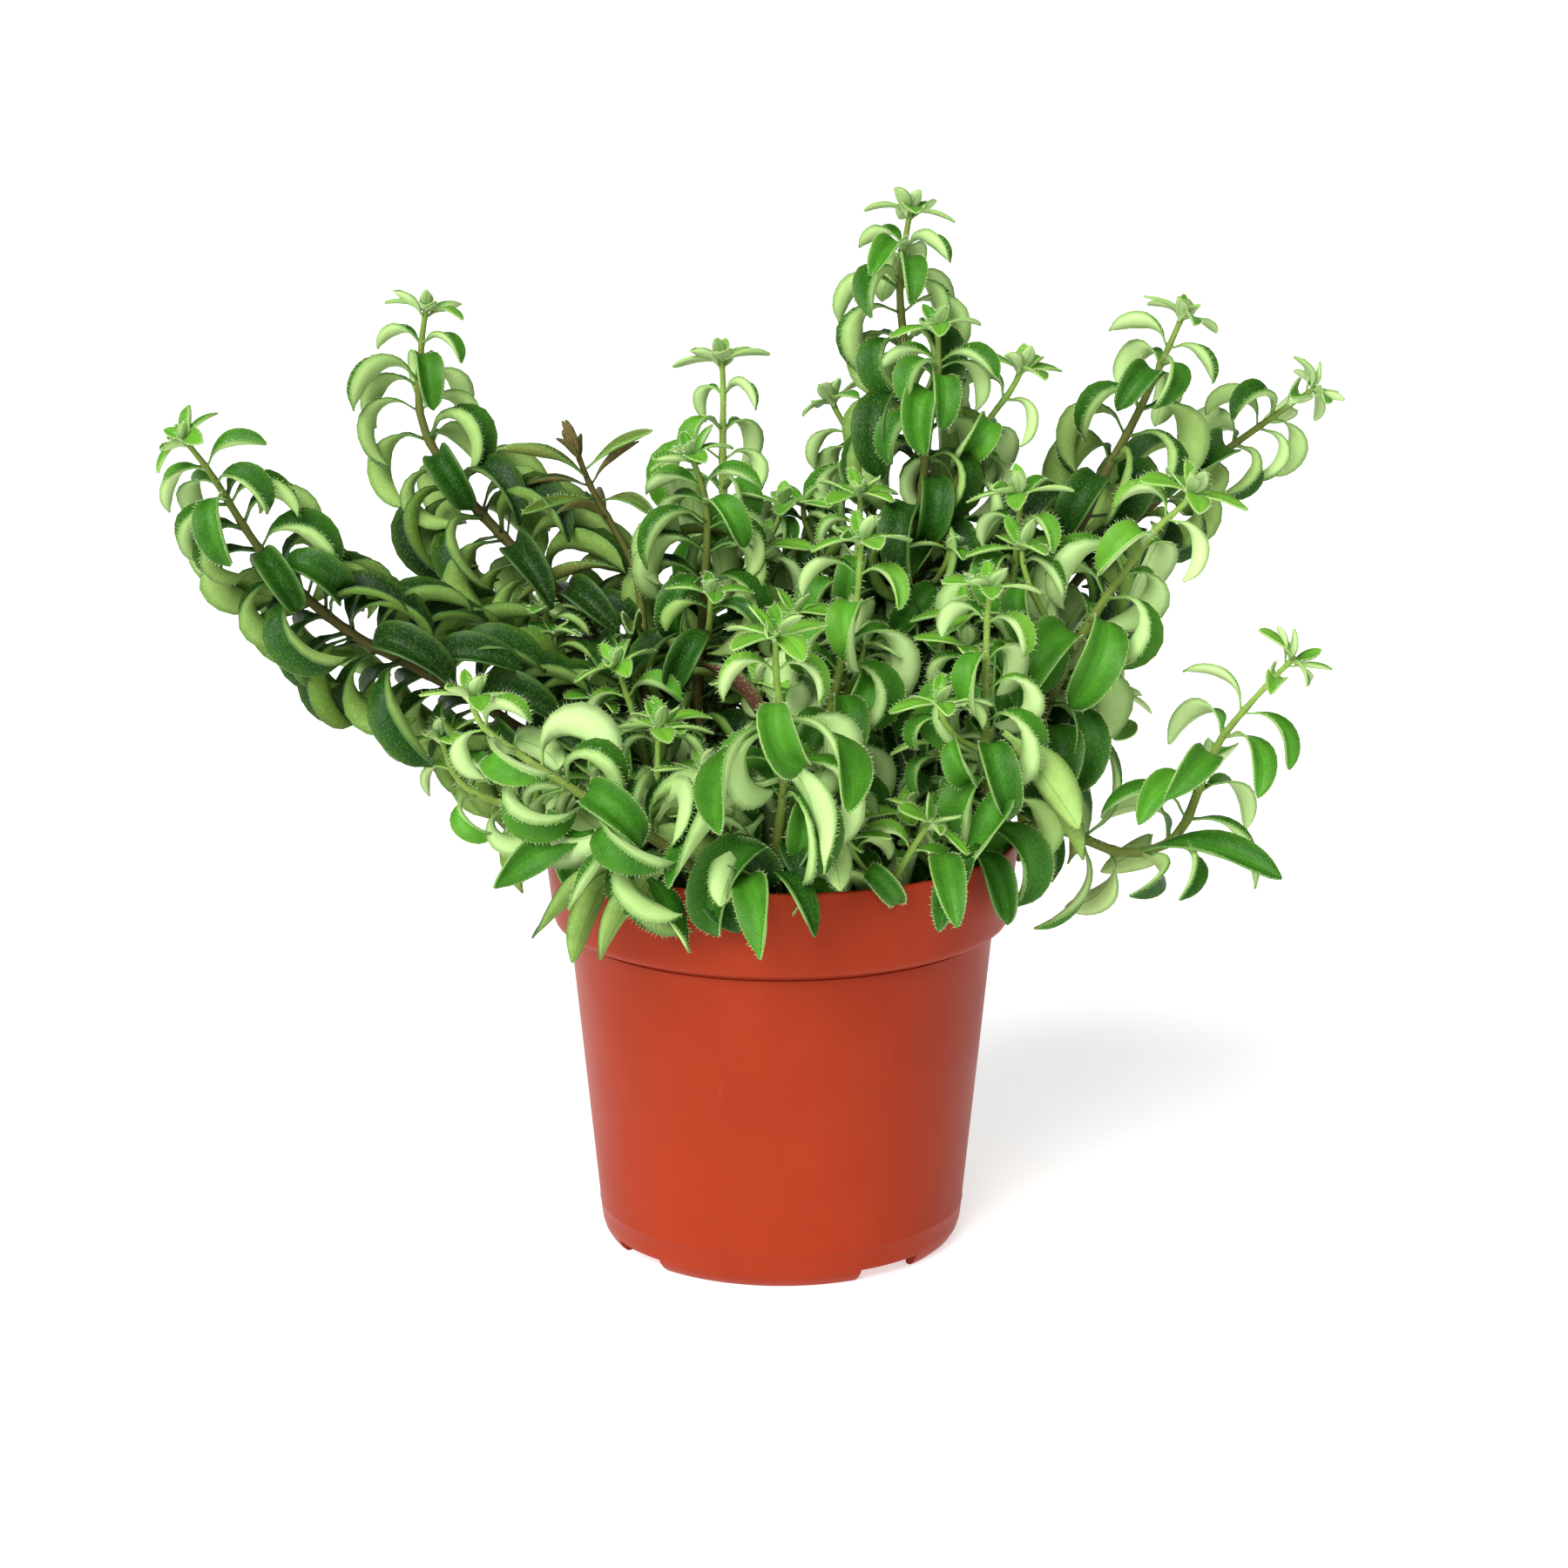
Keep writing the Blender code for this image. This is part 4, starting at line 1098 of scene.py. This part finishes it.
def draw_pot():
    """One moulded pot: foot ring with notches, base with drain holes, wall and rim band."""
    band_foot = POT_HEIGHT - RIM_BAND
    slope = (BODY_TOP_RADIUS - BODY_LOW_RADIUS) / (band_foot - BODY_LOW_Z)

    def body(z):
        return BODY_LOW_RADIUS + slope * (z - BODY_LOW_Z)

    lip = WALL / 2
    line = MOULD_LINE_Z
    profile = [
        (0, BASE_LIFT),
        (FOOT_RADIUS - FOOT_RING, BASE_LIFT),
        (FOOT_RADIUS - FOOT_RING, FOOT_EDGE),
        (FOOT_RADIUS - FOOT_RING + FOOT_EDGE, 0),
        (FOOT_RADIUS - FOOT_EDGE, 0),
        *[(FOOT_RADIUS + out, height) for out, height in FOOT_STEPS],
        (BODY_LOW_RADIUS, BODY_LOW_Z),
        (body(line) - 0.02 * MM, line - 0.25 * MM),
        (body(line) + MOULD_LINE, line),
        (body(line) + MOULD_LINE, line + MOULD_LINE_WIDTH),
        (body(line + 0.4 * MM), line + 0.45 * MM),
        (body(band_foot / 2), band_foot / 2),
        (BODY_TOP_RADIUS - 0.1 * MM, band_foot - BAND_GROOVE_HEIGHT),
        (BODY_TOP_RADIUS - BAND_GROOVE, band_foot - BAND_GROOVE_HEIGHT + 0.2 * MM),
        (BODY_TOP_RADIUS - BAND_GROOVE, band_foot),
        *[(RIM_LOW_RADIUS - inset, band_foot + height) for inset, height in BAND_STEPS],
        *arc((RIM_TOP_RADIUS - lip, POT_HEIGHT - lip), lip, 0, 180, 6),
        (RIM_LOW_RADIUS - WALL, band_foot + RIM_ROUND + 0.7 * MM),
        (BODY_TOP_RADIUS - WALL, band_foot + 0.1 * MM),
        (BODY_LOW_RADIUS - WALL, BODY_LOW_Z + WALL),
        (BODY_LOW_RADIUS - WALL - 1.0 * MM, BASE_LIFT + WALL),
        (0, BASE_LIFT + WALL),
    ]
    made = piece_from(turned(profile, POT_SIDES), "pot_shell", [PLASTIC])
    guide = pot_cutter()
    cut = made.modifiers.new("notches_and_drains", "BOOLEAN")
    cut.operation = "DIFFERENCE"
    cut.object = guide
    graph = bpy.context.evaluated_depsgraph_get()
    mesh = bpy.data.meshes.new_from_object(made.evaluated_get(graph))
    made.modifiers.clear()
    made.data = mesh
    bpy.data.objects.remove(guide, do_unlink=True)
    made.data.shade_smooth()
    made.data.set_sharp_from_angle(angle=CREASE_ANGLE)
    hold(made, "nursery_pot")


def pot_cutter():
    """Blocks that notch the foot ring and plugs that pierce the base."""
    shape = bmesh.new()
    for index in range(NOTCHES):
        angle = NOTCH_FIRST + index * 2 * math.pi / NOTCHES
        block = bmesh.ops.create_cube(shape, size=1)["verts"]
        bmesh.ops.scale(shape, verts=block, vec=(NOTCH_WIDTH, NOTCH_DEPTH, 2 * BASE_LIFT))
        bmesh.ops.translate(shape, verts=block, vec=(0, -FOOT_RADIUS, 0))
        turn = Quaternion((0, 0, 1), angle).to_matrix()
        bmesh.ops.rotate(shape, verts=block, matrix=turn)
    for index in range(DRAIN_HOLES):
        angle = (index + 0.5) * 2 * math.pi / DRAIN_HOLES
        plug = bmesh.ops.create_cone(
            shape, cap_ends=True, segments=DRAIN_SIDES, radius1=DRAIN_RADIUS,
            radius2=DRAIN_RADIUS, depth=4 * WALL)["verts"]
        place = (DRAIN_CIRCLE * math.sin(angle), DRAIN_CIRCLE * math.cos(angle),
                 BASE_LIFT + WALL / 2)
        bmesh.ops.translate(shape, verts=plug, vec=place)
    return piece_from(shape, "pot_cutter", [])


def draw_soil():
    """Loose potting mix: a rough surface, and crumbs and bark chips that lie on it."""
    edge = RIM_LOW_RADIUS - WALL - GAP + 0.6 * MM
    profile = [
        (0, BASE_LIFT + WALL + GAP),
        (BODY_LOW_RADIUS - WALL - 2.5 * MM, BASE_LIFT + WALL + GAP),
        (BODY_TOP_RADIUS - WALL - 0.5 * MM, POT_HEIGHT - RIM_BAND),
        (edge, SOIL_TOP - SOIL_SHOULDER),
        (edge, SOIL_TOP - SOIL_EDGE_DROP),
    ]
    for ring in range(1, SOIL_RINGS + 1):
        profile.append((edge * (1 - ring / SOIL_RINGS), SOIL_TOP))
    shape = turned(profile, SOIL_SIDES)
    for vertex in shape.verts:
        if vertex.co.z > SOIL_TOP - 1.5 * MM:
            place = vertex.co * SOIL_GRAIN
            rough = sum(share * noise.noise(place * fine) for fine, share in SOIL_ROUGHNESS)
            vertex.co.z += SOIL_BUMP * (rough - SOIL_LEVEL)
    made = piece_from(shape, "soil_mix", [SOIL])
    hold(made, "potting_soil")
    chance = random.Random(77)
    crumbs = bmesh.new()
    for _ in range(CRUMBS):
        radius = (edge - 2 * MM) * math.sqrt(chance.random())
        angle = chance.uniform(0, 2 * math.pi)
        grain = chance.uniform(*CRUMB_SIZE) * MM
        if chance.random() < CHIP_SHARE:
            grain *= CHIP_SIZE
        lump = bmesh.ops.create_icosphere(crumbs, subdivisions=1, radius=grain)["verts"]
        stretch = [chance.uniform(*span) for span in CRUMB_SHAPE]
        bmesh.ops.scale(crumbs, verts=lump, vec=stretch)
        for vertex in lump:
            vertex.co *= 1 + CRUMB_ROUGHNESS * chance.uniform(-1, 1)
        turn = Quaternion((chance.uniform(-1, 1), chance.uniform(-1, 1), 1), chance.uniform(0, 6))
        bmesh.ops.rotate(crumbs, verts=lump, matrix=turn.to_matrix())
        bmesh.ops.translate(crumbs, verts=lump, vec=(
            radius * math.cos(angle), radius * math.sin(angle), SOIL_TOP + grain * 0.2))
    hold(piece_from(crumbs, "soil_crumbs", [CRUMB]))


# ---------------------------------------------------------------- finishes


class Finish:
    """A material with short ways to add and join its nodes."""

    def __init__(self, name, **sockets):
        self.material = bpy.data.materials.new(name)
        self.material.use_nodes = True
        self.tree = self.material.node_tree
        self.shader = self.tree.nodes["Principled BSDF"]
        for socket, value in sockets.items():
            self.shader.inputs[socket.replace("_", " ")].default_value = value

    def node(self, kind, **settings):
        made = self.tree.nodes.new("ShaderNode" + kind)
        for name, value in settings.items():
            setattr(made, name, value)
        return made

    def join(self, source, target):
        self.tree.links.new(source, target)

    def feed(self, node, *values):
        """Joins or sets a node's first inputs in order, leaving out each None."""
        for socket, value in zip(node.inputs, values):
            if isinstance(value, bpy.types.NodeSocket):
                self.join(value, socket)
            elif value is not None:
                socket.default_value = value

    def attribute(self, name):
        return self.node("Attribute", attribute_name=name).outputs["Fac"]

    def place(self):
        return self.node("TexCoord").outputs["Object"]

    def noise(self, scale, detail=3, roughness=0.55, where=None):
        made = self.node("TexNoise")
        self.join(where or self.place(), made.inputs["Vector"])
        made.inputs["Scale"].default_value = scale
        made.inputs["Detail"].default_value = detail
        made.inputs["Roughness"].default_value = roughness
        return made.outputs["Fac"]

    def cells(self, scale):
        made = self.node("TexVoronoi")
        self.join(self.place(), made.inputs["Vector"])
        made.inputs["Scale"].default_value = scale
        return made.outputs["Distance"]

    def math(self, operation, a, b=None, c=None, clamp=False):
        made = self.node("Math", operation=operation, use_clamp=clamp)
        self.feed(made, a, b, c)
        return made.outputs[0]

    def ramp(self, factor, stops):
        made = self.node("ValToRGB")
        spots = made.color_ramp.elements
        while len(spots) < len(stops):
            spots.new(0.5)
        for spot, (place, colour) in zip(spots, stops):
            spot.position = place
            spot.color = (*colour, 1)
        self.join(factor, made.inputs[0])
        return made.outputs[0]

    def range(self, value, low, high, to_low=0.0, to_high=1.0):
        made = self.node("MapRange")
        self.feed(made, value, low, high, to_low, to_high)
        return made.outputs[0]

    def mix(self, factor, a, b, blend="MIX"):
        made = self.node("Mix", data_type="RGBA", blend_type=blend)
        for socket, value in ((0, factor), (6, a), (7, b)):
            if isinstance(value, bpy.types.NodeSocket):
                self.join(value, made.inputs[socket])
            else:
                made.inputs[socket].default_value = value if socket == 0 else (*value, 1)
        return made.outputs[2]

    def colour(self, source):
        self.join(source, self.shader.inputs["Base Color"])

    def roughness(self, source):
        self.join(source, self.shader.inputs["Roughness"])

    def bump(self, height, strength, distance):
        made = self.node("Bump")
        made.inputs["Strength"].default_value = strength
        made.inputs["Distance"].default_value = distance
        self.join(height, made.inputs["Height"])
        self.join(made.outputs[0], self.shader.inputs["Normal"])


def srgb(red, green, blue):
    """Linear colour from 8-bit sRGB values."""
    return tuple(((c / 255 + 0.055) / 1.055) ** 2.4 if c > 10 else c / 255 / 12.92
                 for c in (red, green, blue))


def age_of_leaf(finish, spread):
    """The leaf's age, varied from leaf to leaf and mottled across each."""
    tint = finish.math("MULTIPLY", finish.attribute("tint"), spread)
    mottle = finish.math("SUBTRACT", finish.noise(240, 4), 0.5)
    age = finish.math("ADD", finish.attribute("age"), tint)
    return finish.math("MULTIPLY_ADD", mottle, 0.28, age, clamp=True)


def off_midrib(finish):
    """0 on a blade's midrib and 1 at its margins."""
    split = finish.node("SeparateXYZ")
    finish.join(finish.node("TexCoord").outputs["UV"], split.inputs[0])
    centred = finish.math("SUBTRACT", split.outputs["Y"], 0.5)
    return finish.math("MULTIPLY", finish.math("ABSOLUTE", centred), 2.0)


GREEN_UPPER = (
    (0.0, (110, 164, 50)),
    (0.2, (68, 130, 30)),
    (0.45, (40, 93, 17)),
    (0.75, (26, 67, 12)),
    (1.0, (18, 46, 9)))
GREEN_UNDER = (
    (0.0, (184, 210, 144)),
    (0.35, (172, 203, 130)),
    (0.7, (144, 176, 94)),
    (1.0, (100, 132, 51)))
OLIVE_UPPER = ((0.0, (92, 116, 40)), (0.6, (70, 84, 30)), (1.0, (104, 70, 42)))
OLIVE_UNDER = ((0.0, (126, 146, 70)), (0.6, (104, 116, 52)), (1.0, (106, 84, 52)))
RED_UPPER = ((0.0, (104, 64, 44)), (0.7, (70, 36, 30)), (1.0, (46, 44, 26)))
RED_UNDER = ((0.0, (110, 72, 50)), (1.0, (80, 50, 38)))


def tones(stops):
    return [(place, srgb(*colour)) for place, colour in stops]


def upper_side(name, stops):
    """Satin, finely hairy leaf surface, from bright green when young to deep green when old, with
    painted shade along the midrib groove and a painted sheen down the middle of the younger blades.
    """
    made = Finish(name, Subsurface_Weight=0.08, Subsurface_Scale=0.4 * MM,
                  Specular_IOR_Level=0.16)
    made.shader.inputs["Subsurface Radius"].default_value = (0.7, 1.0, 0.2)
    age = age_of_leaf(made, 0.1)
    tone = made.ramp(age, tones(stops))
    off = off_midrib(made)
    # Painted shade: a darker green along the midrib, for the shade in its shallow groove, which the bump
    # below also sinks.
    rib = made.range(off, 0.0, 0.12, 0.4, 0.0)
    tone = made.mix(rib, tone, srgb(24, 62, 18))
    # Painted highlight: a brighter green down the middle of the younger blades, fading to the margins,
    # for the soft sheen on their curved upper side.
    middle = made.math("MULTIPLY", made.range(off, 0.1, 0.7, 0.42, 0.0),
                       made.range(age, 0.0, 0.75, 1.0, 0.0))
    tone = made.mix(middle, tone, srgb(100, 178, 50))
    edge = made.range(off, 0.78, 1.0, 0.0, 0.16)
    tone = made.mix(edge, tone, srgb(120, 160, 66))
    stipple = made.range(made.cells(1700), 0.1, 0.45, 0.24, 0.0)
    tone = made.mix(stipple, tone, srgb(122, 162, 66))
    made.colour(tone)
    made.roughness(made.range(made.noise(900, 2), 0.2, 0.8, 0.38, 0.6))
    grain = made.math("MULTIPLY_ADD", made.cells(1700), -0.7, made.noise(500, 3))
    made.bump(made.math("ADD", grain, made.range(off, 0.0, 0.2, -1.0, 0.0)), 0.35, 0.25 * MM)
    return made.material


def under_side(name, stops):
    """Pale matt underside with a fine mealy grain and a raised midrib."""
    made = Finish(name, Subsurface_Weight=0.15, Subsurface_Scale=0.4 * MM,
                  Specular_IOR_Level=0.14)
    made.shader.inputs["Subsurface Radius"].default_value = (0.7, 1.0, 0.25)
    age = age_of_leaf(made, 0.12)
    tone = made.ramp(age, tones(stops))
    off = off_midrib(made)
    rib = made.range(off, 0.0, 0.09, 0.55, 0.0)
    tone = made.mix(rib, tone, srgb(92, 126, 52))
    edge = made.range(off, 0.82, 1.0, 0.0, 0.6)
    tone = made.mix(edge, tone, srgb(74, 116, 42))
    dots = made.range(made.cells(1500), 0.1, 0.3, 0.35, 0.0)
    tone = made.mix(dots, tone, srgb(194, 220, 148))
    made.colour(tone)
    made.roughness(made.range(made.noise(700, 2), 0.2, 0.8, 0.55, 0.7))
    made.bump(made.math("ADD", made.noise(1200, 3), made.range(off, 0.0, 0.18, 1.0, 0.0)),
              0.3, 0.2 * MM)
    return made.material


def leaf_margin():
    """Thin, slightly paler line along the margin."""
    made = Finish("leaf_margin", Subsurface_Weight=0.1, Subsurface_Scale=0.3 * MM)
    age = age_of_leaf(made, 0.05)
    tone = made.ramp(age, (
        (0.0, srgb(150, 190, 96)),
        (0.5, srgb(84, 128, 48)),
        (1.0, srgb(44, 76, 28))))
    made.colour(tone)
    made.roughness(made.range(made.noise(900, 2), 0.2, 0.8, 0.45, 0.6))
    return made.material


def stem_skin():
    """Green young stem that turns brown and corky lower down."""
    made = Finish("stem_skin", Subsurface_Weight=0.08, Subsurface_Scale=0.4 * MM,
                  Specular_IOR_Level=0.15)
    mottle = made.math("SUBTRACT", made.noise(420, 4), 0.5)
    age = made.math("MULTIPLY_ADD", mottle, 0.35, made.attribute("age"), clamp=True)
    tone = made.ramp(age, (
        (0.0, srgb(140, 176, 80)),
        (0.25, srgb(112, 136, 58)),
        (0.5, srgb(90, 102, 42)),
        (0.8, srgb(78, 78, 34)),
        (1.0, srgb(70, 62, 30))))
    made.colour(tone)
    made.roughness(made.range(made.noise(900, 2), 0.2, 0.8, 0.5, 0.72))
    made.bump(made.noise(1500, 4), 0.35, 0.25 * MM)
    return made.material


def hair_finish():
    """Clear pale hairs."""
    made = Finish("leaf_hair", Subsurface_Weight=0.2, Subsurface_Scale=0.2 * MM)
    made.colour(made.ramp(made.noise(300, 2), (
        (0.3, srgb(196, 220, 150)),
        (0.7, srgb(222, 234, 190)))))
    made.roughness(made.range(made.noise(700, 2), 0.2, 0.8, 0.4, 0.55))
    return made.material


def pot_finish():
    """Satin terracotta-coloured plastic with faint cloudiness and fine scuffs."""
    made = Finish("pot_plastic", Specular_IOR_Level=0.09)
    cloud = made.noise(26, 4, 0.6)
    tone = made.ramp(cloud, (
        (0.3, srgb(135, 41, 16)),
        (0.55, srgb(141, 44, 18)),
        (0.75, srgb(146, 48, 21))))
    stretch = made.node("Mapping")
    stretch.inputs["Scale"].default_value = (1, 1, 0.12)
    made.join(made.place(), stretch.inputs["Vector"])
    scuff = made.range(made.noise(420, 5, 0.7, stretch.outputs[0]), 0.62, 0.8, 0.0, 0.35)
    tone = made.mix(scuff, tone, srgb(158, 66, 40))
    made.colour(tone)
    made.roughness(made.range(made.noise(60, 4), 0.25, 0.75, 0.36, 0.46))
    made.bump(made.noise(1400, 3), 0.08, 0.1 * MM)
    return made.material


def soil_finish(name, dark, mid, light):
    made = Finish(name)
    made.colour(made.ramp(made.noise(520, 6, 0.7), (
        (0.3, dark), (0.55, mid), (0.78, light))))
    made.roughness(made.range(made.noise(800, 3), 0.2, 0.8, 0.8, 1.0))
    made.bump(made.noise(1100, 6, 0.7), 0.8, 0.8 * MM)
    return made.material


def floor_finish():
    made = Finish("floor", Roughness=0.6, Emission_Color=(1, 1, 1, 1), Emission_Strength=0.6)
    made.colour(made.ramp(made.noise(6, 3), ((0.3, (0.78, 0.78, 0.78)), (0.7, (0.82, 0.82, 0.82)))))
    return made.material


MARGIN = leaf_margin()
LEAF = [upper_side("leaf_upper", GREEN_UPPER), under_side("leaf_underside", GREEN_UNDER), MARGIN]
OLIVE_LEAF = [upper_side("olive_upper", OLIVE_UPPER), under_side("olive_underside", OLIVE_UNDER),
              MARGIN]
RED_LEAF = [upper_side("red_upper", RED_UPPER), under_side("red_underside", RED_UNDER), MARGIN]
STEM = stem_skin()
HAIR = hair_finish()
PLASTIC = pot_finish()
SOIL = soil_finish("soil", srgb(22, 15, 11), srgb(44, 31, 23), srgb(78, 58, 42))
CRUMB = soil_finish("soil_crumb", srgb(30, 20, 14), srgb(62, 43, 30), srgb(112, 84, 58))


# ---------------------------------------------------------------- stage


# Brightness of the surroundings by height: white at the horizon, soft grey above.
SKY = ((0.17, 1.0), (0.2, 0.41), (0.26, 0.41), (0.8, 0.17))
FLOOR_RADIUS = 60
KEY_DIRECTION = (0.42, 0.8, -0.75)
KEY_STRENGTH = 4.55
KEY_SPREAD = math.radians(40)
CAMERA_PLACE = (0.0006, -0.814, 0.3027)
CAMERA_TILT = math.radians(13.785)
LENS_LENGTH = 87.36
SENSOR_WIDTH = 36


def stage():
    """Pale floor, soft light from the upper left, and the camera a little above the pot."""
    shape = bmesh.new()
    bmesh.ops.create_circle(shape, cap_ends=True, segments=64, radius=FLOOR_RADIUS)
    floor = piece_from(shape, "floor", [floor_finish()])

    world = bpy.data.worlds.new("studio")
    bpy.context.scene.world = world
    world.use_nodes = True
    tree = world.node_tree
    background = tree.nodes["Background"]
    where = tree.nodes.new("ShaderNodeTexCoord")
    split = tree.nodes.new("ShaderNodeSeparateXYZ")
    ramp = tree.nodes.new("ShaderNodeValToRGB")
    tree.links.new(where.outputs["Generated"], split.inputs[0])
    tree.links.new(split.outputs["Z"], ramp.inputs[0])
    tree.links.new(ramp.outputs[0], background.inputs["Color"])
    spots = ramp.color_ramp.elements
    while len(spots) < len(SKY):
        spots.new(0.5)
    for spot, (height, grey) in zip(spots, SKY):
        spot.position = height
        spot.color = (grey, grey, grey, 1)
    background.inputs["Strength"].default_value = 1.0

    light = bpy.data.lights.new("key_light", "SUN")
    light.energy = KEY_STRENGTH
    light.angle = KEY_SPREAD
    lamp = bpy.data.objects.new("key_light", light)
    lamp.rotation_mode = "QUATERNION"
    lamp.rotation_quaternion = Vector(KEY_DIRECTION).to_track_quat("-Z", "Y")
    bpy.context.scene.collection.objects.link(lamp)

    lens = bpy.data.cameras.new("camera")
    lens.lens = LENS_LENGTH
    lens.sensor_width = SENSOR_WIDTH
    lens.clip_start = 0.05
    lens.clip_end = 200
    camera = bpy.data.objects.new("camera", lens)
    camera.location = CAMERA_PLACE
    camera.rotation_euler = (math.pi / 2 - CAMERA_TILT, 0, 0)
    bpy.context.scene.collection.objects.link(camera)
    bpy.context.scene.camera = camera
    bpy.context.scene.view_settings.view_transform = "Standard"


def draw_lone_leaf(name, leaf, age, chance):
    """A single leaf with its hairs."""
    foliage = Foliage()
    foliage.blade(leaf, age, chance, 1.0, LONE_TWIST, HANGING_CHANNEL)
    fuzz = Fuzz()
    margin_hairs(fuzz, foliage.margins, chance)
    slot = LONE_SLOTS.get(name, "foliage_young")
    finishes = RED_LEAF if slot == "foliage_red" else LEAF
    hold(foliage.finish(name + "_blade", finishes), name)
    for piece in fuzz.finish(name + "_hairs"):
        hold(piece, name)


def main():
    stage()
    draw_pot()
    draw_soil()
    shoots, lone = grown_plant()
    for number, shoot in enumerate(shoots):
        draw_shoot(shoot, number)
    for number, (name, leaf, age) in enumerate(lone):
        draw_lone_leaf(name, leaf, age, random.Random(2000 + number))


main()
